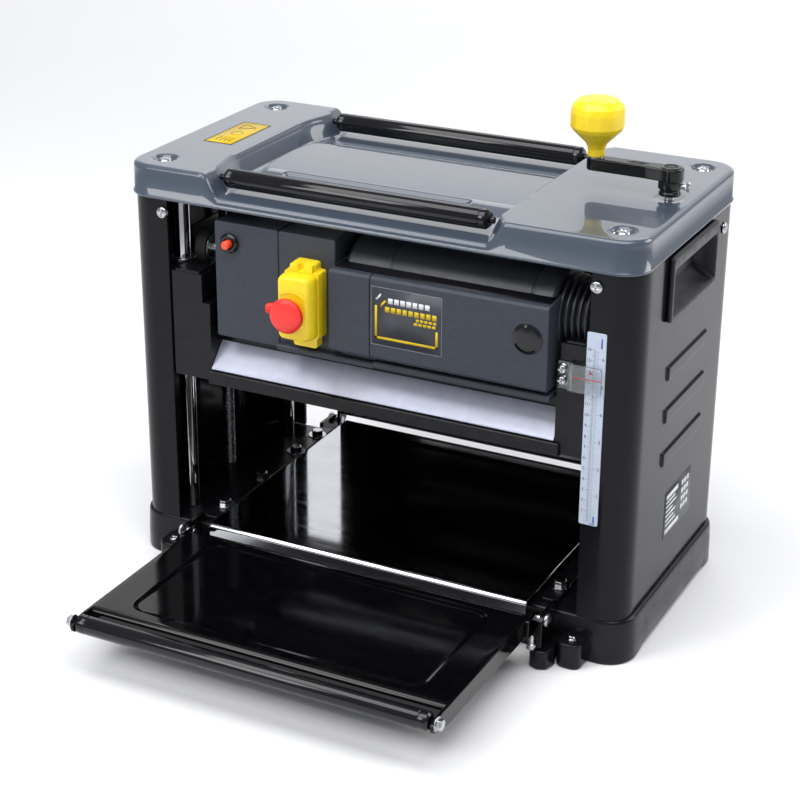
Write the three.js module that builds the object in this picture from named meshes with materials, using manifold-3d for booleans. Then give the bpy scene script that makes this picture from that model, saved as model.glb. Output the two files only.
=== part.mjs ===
import * as THREE from "three";
import { mergeVertices } from "three/addons/utils/BufferGeometryUtils.js";
import Module from "manifold-3d";

const wasm = await Module();
wasm.setup();

// Driving dimensions, in millimetres. X runs along the cutter, -Y is the infeed side, Z is up.
// They are measured from the middle of the cutter. The infeed table is down and the outfeed
// table is folded up, so that middle stands SETBACK behind the centre of the whole object.
const GAP = 0.3;
const SETBACK = 95.75;
const BASE = { hx: 256.8, hy: 126.9, r: 27, h: 43, deck: 7, wall: 6, foot: 4 };
const LUG = { x: 209, y: 136, r: 11.5, h: 24 };
const EAR = { x: 186, y: 150, r: 12, h: 18, plateTop: 51 };
const TABLE = { hx: 165.5, hy: 140, top: 52, lip: 12, wall: 4 };
const PANEL = { hx: 251.6, hy: 126.4, r: 25.6, inner: 208, t: 4, z0: 43.3, z1: 367.3 };
const RIB = { y: 56, h: 15, proud: 1.6, zs: [253, 213, 171] };
const COVER = { hx: 251.7, hy: 130.2, r: 26.6, z0: 367.6, z1: 398, wall: 3.5 };
const WELL = { x0: -160, x1: 108, floor: 378, under: 374.6 };
const POST = { x: 214, y: 94, r: 8 };
const SCREW = { x: 227.6, r: 6, neck: 4.2, top: 401 };
const HANDLE = { y: 60, z0: 306, z1: 366, depth: 14.5 };
const SCALE = { x0: 206.7, x1: 224.1, z0: 135.7, z1: 314.5, t: 1 };
const RETURN = { x0: -155.3, x1: 106.4, y: 106.4, z: 390.4, r: 9 };
const EXT = { hx: 176.6, t: 4, inner: 158, bend: 325, top: 50.5, depth: 18.5 };
const HINGE = { y: 149, z: 45, r: 3.7 };
const ENDROLL = { hx: 171.8, y: 345, z: 46.5, r: 8.5 };
const HEAD = { x0: -165, x1: 180, front: 128, low: 194, top: 243 };
const BLOCK = { x: 243, y: 125, hidden: 121.8, low: 196, mid: 262, step: 272, high: 299 };
const CUTTER = { z: 210.4, r: 24, x0: -160, x1: 174 };
const FEED = { y: 62, z: 199.2, r: 14 };
const MOTOR = { y: -86, z: 314, r: 38, x0: -29, x1: 173 };
const BOXES = { front: 125, back: 62, z0: 243.5, z1: 354.8, x0: -158.3, split: -91.7, x1: -33.9 };
const MCOVER = { x0: -33, x1: 176.5, front: 140, back: 96, z0: 256, z1: 336, wall: 3.5 };
const HOOD = { x0: -140, x1: 168, y0: 66, y1: 122, z0: 243.5, z1: 346, port: 50, portY: 136 };
const SWITCH = { x0: -76, x1: -43, z0: 266, z1: 326, mid: 141, front: 156 };
const PADDLE = { x: -61, z: 293, r: 16, y0: 163.5, y1: 171 };
const PLUG = { x: 158, z: 303, r: 14, neck: 10.6 };
const RESET = { x: -142, z: 335.5 };
const PLACES = ["front_left", "front_right", "rear_left", "rear_right"];
const CRANK = { arm: 69.2, z0: 414, z1: 425.5, hub: 11, knobTop: 479 };

const COLOUR = {
  cast: [0x17181b, 0.2, 0.45],
  gloss: [0x0b0b0d, 0.3, 0.16],
  cover: [0x5c646e, 0.4, 0.28],
  panel: [0x2b2c31, 0.3, 0.35],
  plastic: [0x1f2024, 0, 0.62],
  plate: [0xa6a9b8, 0.8, 0.35],
  chrome: [0xd5d8dc, 1, 0.08],
  steel: [0x9a9da1, 1, 0.3],
  yellow: [0xf0cc08, 0, 0.35],
  red: [0xf23c30, 0, 0.4],
  orange: [0xf0592c, 0, 0.4],
  green: [0x2c9a42, 0, 0.4],
  scale: [0xe2e6f2, 0, 0.4],
  clear: [0xdfe6ea, 0, 0.1],
  rubber: [0x131314, 0, 0.85],
};

const group = new THREE.Group();

// A closed geometry as a solid for the boolean operations.
function solid(geometry) {
  const bare = new THREE.BufferGeometry();
  const flat = geometry.index ? geometry.toNonIndexed() : geometry;
  bare.setAttribute("position", flat.getAttribute("position"));
  const merged = mergeVertices(bare, 1e-4);
  return new wasm.Manifold(
    new wasm.Mesh({
      numProp: 3,
      vertProperties: merged.attributes.position.array,
      triVerts: new Uint32Array(merged.index.array),
    }),
  );
}

// Adds a solid to the group as a named mesh with a material of its own.
function add(name, body, colour) {
  const data = body.translate([0, SETBACK, 0]).getMesh();
  const geometry = new THREE.BufferGeometry();
  const points = new Float32Array(data.vertProperties);
  geometry.setAttribute("position", new THREE.BufferAttribute(points, 3));
  geometry.setIndex(new THREE.BufferAttribute(new Uint32Array(data.triVerts), 1));
  geometry.computeVertexNormals();
  const [color, metalness, roughness] = COLOUR[colour];
  const material = new THREE.MeshStandardMaterial({ color, metalness, roughness });
  const mesh = new THREE.Mesh(geometry, material);
  mesh.name = name;
  group.add(mesh);
}

function box(x0, x1, y0, y1, z0, z1) {
  const g = new THREE.BoxGeometry(x1 - x0, y1 - y0, z1 - z0);
  return solid(g.translate((x0 + x1) / 2, (y0 + y1) / 2, (z0 + z1) / 2));
}

function extruded(shape, length, segments = 6) {
  return new THREE.ExtrudeGeometry(shape, {
    depth: length,
    bevelEnabled: false,
    curveSegments: segments,
  });
}

function polygon(points) {
  return new THREE.Shape(points.map(([u, v]) => new THREE.Vector2(u, v)));
}

// A profile in Y and Z carried along X.
function alongX(points, x0, x1) {
  const turn = new THREE.Matrix4().makeBasis(
    new THREE.Vector3(0, 1, 0),
    new THREE.Vector3(0, 0, 1),
    new THREE.Vector3(1, 0, 0),
  );
  const g = extruded(polygon(points), x1 - x0).applyMatrix4(turn);
  return solid(g.translate(x0, 0, 0));
}

// A block with four rounded upright edges.
function rounded(x0, x1, y0, y1, r, z0, z1, segments = 6) {
  const s = new THREE.Shape();
  s.moveTo(x0 + r, y0);
  s.lineTo(x1 - r, y0);
  s.absarc(x1 - r, y0 + r, r, -Math.PI / 2, 0);
  s.lineTo(x1, y1 - r);
  s.absarc(x1 - r, y1 - r, r, 0, Math.PI / 2);
  s.lineTo(x0 + r, y1);
  s.absarc(x0 + r, y1 - r, r, Math.PI / 2, Math.PI);
  s.lineTo(x0, y0 + r);
  s.absarc(x0 + r, y0 + r, r, Math.PI, Math.PI * 1.5);
  return solid(extruded(s, z1 - z0, segments).translate(0, 0, z0));
}

function rodX(y, z, r, x0, x1, sides = 20) {
  const g = new THREE.CylinderGeometry(r, r, x1 - x0, sides).rotateZ(-Math.PI / 2);
  return solid(g.translate((x0 + x1) / 2, y, z));
}

function rodY(x, z, r, y0, y1, sides = 20) {
  const g = new THREE.CylinderGeometry(r, r, y1 - y0, sides);
  return solid(g.translate(x, (y0 + y1) / 2, z));
}

function rodZ(x, y, r, z0, z1, sides = 20) {
  const g = new THREE.CylinderGeometry(r, r, z1 - z0, sides).rotateX(Math.PI / 2);
  return solid(g.translate(x, y, (z0 + z1) / 2));
}

// A turned solid on an upright axis, from a profile of radius and height.
function turned(x, y, profile, sides = 24) {
  const points = profile.map(([r, z]) => new THREE.Vector2(r, z));
  const g = new THREE.LatheGeometry(points, sides).rotateX(Math.PI / 2);
  return solid(g.translate(x, y, 0));
}

function join(...bodies) {
  return bodies.reduce((all, b) => all.add(b));
}

const cut = (body, ...tools) => body.subtract(join(...tools));
const mirrorY = (body) => body.mirror([0, 1, 0]);
const mirrorX = (body) => body.mirror([1, 0, 0]);
const corners = (x, y) => [[-x, -y], [x, -y], [-x, y], [x, y]];

function makeBase() {
  const { hx, hy, r, h, deck, wall, foot } = BASE;
  const shell = cut(
    rounded(-hx, hx, -hy, hy, r, 0, h, 8),
    rounded(-hx + wall, hx - wall, -hy + wall, hy - wall, r - wall, -1, h - deck, 8),
    box(-195, 195, -hy - 1, hy + 1, -1, foot),
    box(-hx - 1, hx + 1, -88, 88, -1, foot),
  );
  const rails = [-1, 1].map((s) => box(s * 178 - 8, s * 178 + 8, -118, 118, h - 1, 48));
  const lugs = corners(1, 1).map(([sx, sy]) => {
    const y = [sy * (hy - 5), sy * LUG.y].sort((a, b) => a - b);
    const round = rodZ(sx * LUG.x, sy * LUG.y, LUG.r, 0, LUG.h);
    const neck = box(sx * LUG.x - LUG.r, sx * LUG.x + LUG.r, y[0], y[1], 0, LUG.h);
    const bolt = rodZ(sx * LUG.x, sy * LUG.y, 3.4, -1, LUG.h + 1, 12);
    return cut(join(round, neck), bolt);
  });
  const ears = corners(1, 1).map(([sx, sy]) => {
    const y = [sy * (hy - 5), sy * EAR.y].sort((a, b) => a - b);
    const round = rodZ(sx * EAR.x, sy * EAR.y, EAR.r, 0, EAR.h, 6);
    const neck = box(sx * EAR.x - 8, sx * EAR.x + 8, y[0], y[1], 0, EAR.h);
    const span = [sy * (hy - 8), sy * (EAR.y + 7)].sort((a, b) => a - b);
    const px = sx * EAR.x;
    const plate = box(px - 2.3, px + 2.3, span[0], span[1], 8, EAR.plateTop);
    const pin = rodX(sy * HINGE.y, HINGE.z, HINGE.r + GAP, px - 5, px + 5, 16);
    return cut(join(round, neck, plate), pin);
  });
  const whole = join(shell, ...rails, ...lugs, ...ears);
  const holes = [-1, 1].map((s) => rodZ(s * SCREW.x, 0, SCREW.r + 1, 30, h + 6));
  add("base", cut(whole, ...holes), "cast");
}

function makeTable() {
  const { hx, hy, top, lip, wall } = TABLE;
  const low = BASE.h + GAP;
  const tray = box(-hx, hx, -hy, hy, top - lip, top);
  const under = [
    box(-hx + wall, hx - wall, -hy + wall, hy - wall, top - lip - 1, low),
    box(-hx - 1, hx + 1, -BASE.hy - 1, BASE.hy + 1, top - lip - 1, low),
  ];
  add("main_table", cut(tray, ...under), "steel");
}

function makePanels() {
  const { hx, hy, r, inner, t, z0, z1 } = PANEL;
  const whole = cut(
    rounded(-hx, hx, -hy, hy, r, z0, z1, 8),
    rounded(-hx + t, hx - t, -hy + t, hy - t, r - t, z0 - 1, z1 + 1, 8),
  );
  const ribs = RIB.zs.map((z) => box(hx - t + 1, hx + RIB.proud, -RIB.y + 5, RIB.y, z - 7, z + 7));
  const side = join(whole.intersect(box(inner, hx + 5, -200, 200, 0, 400)), ...ribs);
  const window = box(hx - t - 1, hx + 1, -HANDLE.y + 4, HANDLE.y - 4, HANDLE.z0 + 4, HANDLE.z1 - 4);
  const hole = (y) => rodY(212.5, 354.3, 3.3, y - 8, y + 8, 12);
  const right = cut(side, window, hole(-hy), hole(hy));
  add("side_panel_right", right, "panel");
  add("side_panel_left", mirrorX(right), "panel");
}

function makeHandles() {
  const { y, z0, z1, depth } = HANDLE;
  const x = PANEL.hx;
  const rim = box(x + GAP, x + 3, -y, y, z0, z1);
  const cup = box(x - depth, x + 1, -y + 5, y - 5, z0 + 5, z1 - 5);
  const hollow = box(x - depth + 2.5, x + 4, -y + 9, y - 9, z0 + 9, z1 - 9);
  const handle = cut(join(rim, cup), hollow);
  add("handle_right", handle, "plastic");
  add("handle_left", mirrorX(handle), "plastic");
}

function makeCover() {
  const { hx, hy, r, z0, z1, wall } = COVER;
  const { x0, x1, floor, under } = WELL;
  const outer = rounded(-hx, hx, -hy, hy, r, z0, z1, 8);
  const well = alongX([[-140, floor], [140, floor], [140, z1 + 1], [-140, z1 + 1]], x0, x1);
  const bay = (a, b) => rounded(a, b, -hy + wall, hy - wall, r - wall, z0 - 1, z1 - wall, 8);
  const middle = box(x0 - 10, x1 + 10, -hy + wall, hy - wall, z0 - 1, under);
  const lamp = join(bay(-hx + wall, x0 - wall), bay(x1 + wall, hx - wall), middle);
  const axles = [-1, 1].map((s) => rodX(s * RETURN.y, RETURN.z, 3.4, x0 - 8, x1 + 8, 12));
  const shaft = rodZ(SCREW.x, 0, SCREW.neck + 0.8, z1 - 10, z1 + 1, 16);
  const screws = corners(223.9, 101.4).map(([x, y]) => rodZ(x, y, 3.4, z1 - 8, z1 + 1, 12));
  add("top_cover", cut(outer, well, lamp, shaft, ...axles, ...screws), "cover");
}

// A pan-head screw standing on a face, with its shank through the hole below.
function panHead(x, y, z, shank) {
  return turned(x, y, [[0, z - shank], [2.8, z - shank], [2.8, z + GAP],
    [6, z + GAP], [6, z + 2], [3.5, z + 4], [0, z + 4.2]], 16);
}

function makeScrews() {
  corners(223.9, 101.4).forEach(([x, y], i) => {
    add(`cover_screw_${PLACES[i]}`, panHead(x, y, COVER.z1, 7), "chrome");
  });
  [-212.5, 212.5].forEach((x, i) => {
    const upright = panHead(0, 0, 0, 7).rotate([90, 0, 0]);
    add(`column_screw_${i ? "right" : "left"}`, upright.translate([x, -PANEL.hy, 354.3]), "chrome");
  });
}

function makePosts() {
  corners(POST.x, POST.y).forEach(([x, y], i) => {
    const body = rodZ(x, y, POST.r, BASE.h + GAP, COVER.z1 - COVER.wall - GAP);
    add(`guide_column_${PLACES[i]}`, body, "chrome");
  });
}

function makeScale() {
  const { x0, x1, z0, z1, t } = SCALE;
  const y = -PANEL.hy - GAP;
  add("depth_scale", box(x0, x1, y - t, y, z0, z1), "scale");
}

function makeHingePins() {
  corners(1, 1).forEach(([sx, sy], i) => {
    const pin = join(
      rodX(sy * HINGE.y, HINGE.z, HINGE.r, 175.8, 189, 16),
      rodX(sy * HINGE.y, HINGE.z, 6, 188.8, 191.5, 16),
    );
    add(`hinge_pin_${PLACES[i]}`, sx < 0 ? mirrorX(pin) : pin, "steel");
    const stop = turned(sx * 179, sy * 157, [[0, EAR.h + GAP], [4.4, EAR.h + GAP], [4.4, 23],
      [3, 23], [3, 31.4], [0, 31.4]], 12);
    add(`stop_screw_${PLACES[i]}`, stop, "steel");
  });
}

// The loop that ties the two lead screws together under the deck.
function makeChain() {
  const outer = rounded(-240, 240, -12.4, 12.4, 12.3, 24, 29, 5);
  const inner = rounded(-238, 238, -10.4, 10.4, 10.3, 23, 30, 5);
  add("lead_screw_chain", cut(outer, inner), "steel");
}

// One end of the cast head, with its bores for the columns and the lead screw.
function bearingBlock(x0, x1) {
  const s = Math.sign(x0 + x1);
  const { y, hidden, low, mid, step, high } = BLOCK;
  const lower = box(x0, x1, -y, y, low, mid);
  const foot = box(x0, x1, -y, -66, mid - 1, step);
  const upper = box(s < 0 ? x0 : x0 + 2.7, s < 0 ? x1 - 8 : x1, -y, -66, step - 1, high);
  const bores = [-1, 1].map((k) => rodZ(s * POST.x, k * POST.y, POST.r + 0.6, 190, 305));
  const nut = rodZ(s * SCREW.x, 0, SCREW.r + 0.5, 190, 305);
  const relief = [-1, 1].map((k) => box(Math.min(s * 206, s * 250), Math.max(s * 206, s * 250),
    k > 0 ? 22 : -66, k > 0 ? 66 : -22, low - 1, high));
  const inside = rounded(-247, 247, -hidden, hidden, 21, low - 1, high + 1, 6);
  const reach = join(inside, box(-206, 206, -y - 1, y + 1, low - 1, high + 1));
  return cut(join(lower, foot, upper), ...bores, nut, ...relief).intersect(reach);
}

function makeHead() {
  const { x0, x1, front, low, top } = HEAD;
  const beam = alongX([[-front, low], [-95, low], [-95, top], [-104.5, top],
    [-104.5, 229.4], [-124.4, 207.2], [-front, 205.5]], x0 - 3, x1 + 5);
  const deck = box(x0 - 3, x1 + 5, -100, 100, top - 6, top);
  const left = bearingBlock(-BLOCK.x, x0 - 1);
  const right = bearingBlock(x1, BLOCK.x);
  const bell = rodX(MOTOR.y, MOTOR.z, 36, x1 - 3, 206, 24);
  const slot = box(-199, -179, -112, 24, low - 1, BLOCK.high + 1);
  const cutterShaft = rodX(0, CUTTER.z, 9, -250, 250, 20);
  const feeds = [-1, 1].map((s) => rodX(s * FEED.y, FEED.z, 6.5, -215, 215, 16));
  const chips = box(HOOD.x0 + 22, HOOD.x1 - 22, 75, 94, top - 7, top + 1);
  add("head_casting", cut(join(beam, mirrorY(beam), deck, left, right),
    bell, slot, chips, cutterShaft, ...feeds), "cast");
}

function makeCutter() {
  const { z, r, x0, x1 } = CUTTER;
  const block = join(rodX(0, z, r - 2, x0, x1, 32), rodX(0, z, 8.2, -197, 214, 20),
    rodX(0, z, 16, -196, -183, 24));
  const slots = [-1, 1].map((s) => box(x0 - 1, x1 + 1, s > 0 ? -5 : 1, s > 0 ? -1 : 5,
    z + (s > 0 ? 10 : -30), z + (s > 0 ? 30 : -10)));
  add("cutter_block", cut(block, ...slots), "steel");
  add("cutter_knife_1", box(x0, x1, -4.6, -1.4, z + 10.4, z + r), "chrome");
  add("cutter_knife_2", box(x0, x1, 1.4, 4.6, z - r, z - 10.4), "chrome");
  const roller = (s) => join(rodX(s * FEED.y, FEED.z, FEED.r, x0, x1, 24),
    rodX(s * FEED.y, FEED.z, 6, -203, 203, 16));
  add("infeed_roller", roller(-1), "rubber");
  add("outfeed_roller", roller(1), "rubber");
}

function makeChipPlate() {
  const face = [[-124.8, 207.3], [-104.8, 229.5], [-106.2, 230.8], [-126.2, 208.6]];
  add("chip_plate", alongX(face, -166, 179.6), "plate");
}

function makeDrive() {
  const { y, z } = MOTOR;
  const shaft = join(rodX(y, z, 6, -197, MOTOR.x0 - GAP, 16), rodX(y, z, 14, -196, -183, 24));
  add("motor_shaft", shaft, "steel");
  const lean = new THREE.Vector2(0 - y, CUTTER.z - z);
  const length = lean.length();
  const angle = (Math.atan2(lean.y, lean.x) * 180) / Math.PI;
  const loop = (extra) => {
    const a = rodX(0, 0, 14.4 + extra, -1, 1, 24);
    const b = rodX(length, 0, 16.4 + extra, -1, 1, 24);
    return wasm.Manifold.hull([a, b]);
  };
  const belt = loop(2).scale([5.5, 1, 1]).subtract(loop(0).scale([7, 1, 1]));
  add("drive_belt", belt.rotate([angle, 0, 0]).translate([-189.5, y, z]), "rubber");
}

// A box open at the back and below, for the covers on the carriage.
function openBox(x0, x1, front, back, z0, z1, wall) {
  const outer = box(x0, x1, -front, -back, z0, z1);
  return outer.subtract(box(x0 + wall, x1 - wall, -front + wall, -back + 1, z0 + wall, z1 - wall));
}

function makeCovers() {
  const { front, back, z0, z1, x0, split, x1 } = BOXES;
  const shaft = rodX(MOTOR.y, MOTOR.z, 8, x0 - 5, x1 + 5, 16);
  const button = rodY(RESET.x, RESET.z, 4.4, -front - 5, -front + 5, 16);
  const left = openBox(x0, split - GAP / 2, front, back, z0, z1, 3);
  add("gear_cover", cut(left, shaft, button), "plastic");
  const right = openBox(split + GAP / 2, x1, front, back, z0, z1, 3);
  add("switch_housing", cut(right, shaft), "plastic");
  const m = MCOVER;
  const shell = cut(box(m.x0, m.x1, -m.front, -m.back, m.z0, m.z1),
    box(m.x0 + m.wall, m.x1 - m.wall, -m.front + m.wall, -m.back + 1, m.z0 + m.wall, m.z1 - m.wall),
    rodX(MOTOR.y, MOTOR.z, MOTOR.r + GAP, m.x0 - 1, m.x1 + 1, 32));
  const clash = box(m.x0 - 1, x1 + GAP, -front - GAP, 0, m.z0 - 1, m.z1 + 1);
  const plug = rodY(PLUG.x, PLUG.z, PLUG.neck + 0.4, -m.front - 1, -m.front + 8, 24);
  add("motor_cover", cut(shell, clash, plug), "plastic");
  const cap = join(rodY(PLUG.x, PLUG.z, PLUG.neck, -m.front - 1, -m.front + 3.4, 24),
    rodY(PLUG.x, PLUG.z, PLUG.r, -m.front - 2.5, -m.front - GAP, 24));
  add("brush_plug", cap, "gloss");
}

function makeMotor() {
  const { y, z, r, x0, x1 } = MOTOR;
  const foot = box(x0 + 6, x1 - 6, y - 9, y + 9, HEAD.top + GAP, z - r + 8);
  add("motor", join(rodX(y, z, r - GAP, x0, x1, 32), foot), "plastic");
  const fins = [0, 1, 2, 3].map((i) => rodX(y, z, 34 - 1.2 * i, x1 + 4 + i * 7, x1 + 8 + i * 7, 28));
  add("motor_end_bell", join(rodX(y, z, 28, x1 + GAP, x1 + 30, 28), ...fins), "plastic");
}

function makeHood() {
  const { x0, x1, y0, y1, z0, z1, port, portY } = HOOD;
  const px = -60;
  const pz = (z0 + z1) / 2;
  const body = alongX([[y0, z0], [y1, z0], [y1, z1], [y0 + 18, z1], [y0, z1 - 30]], x0, x1);
  const room = alongX([[y0 + 3, z0 + 3], [y1 - 3, z0 + 3], [y1 - 3, z1 - 3],
    [y0 + 19.5, z1 - 3], [y0 + 3, z1 - 31]], x0 + 3, x1 - 3);
  const pipe = rodY(px, pz, port, y1 - 2, portY, 32);
  const bore = rodY(px, pz, port - 3, y1 - 4, portY + 1, 32);
  const mouth = box(x0 + 20, x1 - 20, y0 + 8, y0 + 30, z0 - 1, z0 + 4);
  add("chip_hood", cut(join(body, pipe), room, bore, mouth), "plastic");
}

function makeCursor() {
  const face = -BLOCK.y - GAP;
  const foot = box(181, 195, face - 2, face, 258, 285);
  const arm = box(190, 222, -PANEL.hy - 4.2, -PANEL.hy - 2.4, 258, 284);
  add("scale_cursor", join(foot, box(190, 195, -PANEL.hy - 4.2, face, 258, 284), arm), "clear");
}

function makeReset() {
  const { x, z } = RESET;
  const face = -BOXES.front;
  const ring = cut(rodY(x, z, 9, face - 4, face - GAP, 24), rodY(x, z, 5.2, face - 6, face + 1, 20));
  add("reset_bezel", ring, "gloss");
  add("reset_button", rodY(x, z, 4.1, face - 10, face + 6, 16), "orange");
}

function makeSwitch() {
  const { x0, x1, z0, z1, mid, front } = SWITCH;
  const back = -BOXES.front - GAP;
  const xm = (x0 + x1) / 2;
  const body = join(
    box(x0 - 1.5, x1 + 1.5, -mid, back, z0 - 1, z1 + 1),
    box(x0 + 3, x1 - 3, -mid + 6, back, z0 - 13, z1 + 8),
  );
  const wells = [280, 306].map((z) => rodY(xm, z, 7.4, -mid - 1, -mid + 10, 20));
  add("switch_body", cut(body, ...wells), "yellow");
  const lid = cut(
    box(x0, x1, -front, -mid - GAP, z0, z1),
    box(x0 + 2.5, x1 - 2.5, -front + 2.5, -mid + 1, z0 + 2.5, z1 - 2.5),
    rodY(PADDLE.x, PADDLE.z, 4.4, -front - 1, -front + 4, 16),
  );
  add("switch_lid", lid, "yellow");
  const disc = rodY(PADDLE.x, PADDLE.z, PADDLE.r, -PADDLE.y1, -PADDLE.y0, 32);
  const ear = box(PADDLE.x - 20, PADDLE.x - 12, -PADDLE.y1 + 1, -PADDLE.y0, PADDLE.z, PADDLE.z + 8);
  const stem = rodY(PADDLE.x, PADDLE.z, 4, -PADDLE.y0 - 1, -front + 6, 16);
  add("stop_paddle", join(disc, ear, stem), "red");
  add("stop_button", rodY(xm, 280, 7, -mid - 2.5, -mid + 7, 20), "red");
  add("start_button", rodY(xm, 306, 7, -mid - 2.5, -mid + 7, 20), "green");
}

function threaded(x, top, extra = []) {
  return join(rodZ(x, 0, SCREW.r, 24, 296), rodZ(x, 0, SCREW.neck, 295, top),
    rodZ(x, 0, 9.8, 22, 30, 18), ...extra);
}

function makeCrank() {
  const { arm, z0, z1, hub, knobTop } = CRANK;
  const x = SCREW.x;
  const beam = wasm.Manifold.hull([rodZ(x, 0, 8, z0, z1, 20), rodZ(x - arm, 0, 6.5, z0, z1, 20)]);
  const boss = rodZ(x, 0, hub, SCREW.top, z1 + 1, 24);
  const set = rodX(0, 407, 3, x + 8, x + 15, 12);
  const pin = rodZ(x - arm, 0, 3.5, z1 - 1, z1 + 24, 16);
  add("crank", threaded(x, SCREW.top + 1, [beam, boss, set, pin]), "gloss");
  add("lead_screw_left", threaded(-x, COVER.z1 - COVER.wall - 6), "steel");
  const k = z1 + 0.8;
  const top = knobTop;
  const knob = turned(x - arm, 0, [[0, k], [7.6, k], [7.6, k + 13], [10, k + 17], [21, k + 23],
    [23.8, k + 28], [23.8, top - 12], [22, top - 6.5], [17, top - 2.2], [9, top - 0.3], [0, top]], 32);
  add("knob", cut(knob, rodZ(x - arm, 0, 3.9, k - 1, k + 25, 16)), "yellow");
}

function makeReturnRollers() {
  const { x0, x1, y, z, r } = RETURN;
  [["front", -1], ["rear", 1]].forEach(([name, s]) => {
    const body = join(rodX(s * y, z, r, x0, x1, 24), rodX(s * y, z, 3, x0 - 6, x1 + 4.5, 12));
    add(`return_roller_${name}`, body, "gloss");
  });
}

// The infeed extension table; the outfeed one is its mirror image.
// The outfeed side's copy of an infeed piece, folded up about its hinge.
function foldedUp(body) {
  const { y, z } = HINGE;
  return mirrorY(body).translate([0, -y, -z]).rotate([90, 0, 0]).translate([0, y, z]);
}

function makeExtensions() {
  const { hx, t, inner, bend, top, depth } = EXT;
  const sheet = alongX([[-inner, top], [-bend, top], [-bend - 9, top - 6], [-bend - 9, top - 16],
    [-bend - 6, top - 16], [-bend - 6, top - 7.2], [-bend + 1, top - 3], [-inner, top - 3]], -hx, hx);
  const cheek = (x) => join(
    alongX([[-inner, top], [-bend, top], [-ENDROLL.y + 2, top], [-ENDROLL.y - 6, top - 2.5],
      [-ENDROLL.y - 7.6, top - 9], [-ENDROLL.y - 4, top - 13], [-bend, top - depth],
      [-inner, top - depth]].reverse(), x, x + t),
  );
  const lug = (x) => alongX([[-142.5, 40], [-142.5, 49.5], [-145, 50.5], [-168, 50.5],
    [-168, 32], [-150, 32]], x, x + 4);
  const pins = [rodX(-HINGE.y, HINGE.z, HINGE.r + GAP, -185, 185, 16),
    rodX(-ENDROLL.y, ENDROLL.z, 3.4, -185, 185, 12)];
  const table = cut(join(sheet, cheek(-hx), cheek(hx - t), lug(-hx - 3.7), lug(hx - 0.3)), ...pins);
  add("infeed_table", table, "gloss");
  add("outfeed_table", foldedUp(table), "gloss");
  const e = ENDROLL;
  const roller = join(rodX(-e.y, e.z, e.r, -e.hx, e.hx, 24), rodX(-e.y, e.z, 3, -178, 178, 12),
    rodX(-e.y, e.z, 5.4, -182.6, -177.2, 6), rodX(-e.y, e.z, 5.4, 177.2, 182.6, 6));
  add("end_roller_infeed", roller, "gloss");
  add("end_roller_outfeed", foldedUp(roller), "gloss");
}

makeBase();
makeTable();
makePanels();
makeHandles();
makeCover();
makeScrews();
makePosts();
makeScale();
makeHingePins();
makeChain();
makeHead();
makeChipPlate();
makeCutter();
makeDrive();
makeCovers();
makeMotor();
makeHood();
makeCursor();
makeReset();
makeSwitch();
makeCrank();
makeReturnRollers();
makeExtensions();

export default group;
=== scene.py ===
"""Thickness planer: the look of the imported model, built around its fixed frame."""

import math

import bmesh
import bpy
from mathutils import Matrix, Vector


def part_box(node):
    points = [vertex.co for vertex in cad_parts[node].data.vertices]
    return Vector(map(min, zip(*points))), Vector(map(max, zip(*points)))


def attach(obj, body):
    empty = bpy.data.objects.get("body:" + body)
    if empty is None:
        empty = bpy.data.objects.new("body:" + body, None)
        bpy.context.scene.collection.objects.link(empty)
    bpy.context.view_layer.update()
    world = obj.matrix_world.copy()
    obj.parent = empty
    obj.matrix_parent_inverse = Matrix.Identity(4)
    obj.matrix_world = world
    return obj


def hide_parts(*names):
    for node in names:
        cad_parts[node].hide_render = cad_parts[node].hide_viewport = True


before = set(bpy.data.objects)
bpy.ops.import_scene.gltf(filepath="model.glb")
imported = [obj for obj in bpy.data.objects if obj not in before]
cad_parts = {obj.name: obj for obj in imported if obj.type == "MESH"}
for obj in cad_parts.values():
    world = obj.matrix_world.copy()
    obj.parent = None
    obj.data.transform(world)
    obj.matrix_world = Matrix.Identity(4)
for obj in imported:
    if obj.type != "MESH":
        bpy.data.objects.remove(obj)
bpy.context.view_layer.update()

MM = 0.001
TURN = 2 * math.pi
SETBACK = 95.75             # millimetres from the frame's centre back to the middle of the machine
HINGE_Y, HINGE_Z = 149, 45
COVER_TOP = 398.0
MARK_Z = (398.2, 398.4)     # bottom and top of the ink on the cover's label
SCREW_X, SCREW_Y = 223.9, 101.4
SIDE_X = 251.6              # outer face of the side panels
CRANK_X = 227.6             # axis of the crank and, mirrored, of the left lead screw
CORNERS = (("front_left", -1, -1), ("front_right", 1, -1), ("rear_left", -1, 1), ("rear_right", 1, 1))
AXES = {"x": (1, 2, 0), "y": (0, 2, 1), "z": (0, 1, 2)}


# ---------------------------------------------------------------- materials

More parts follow.
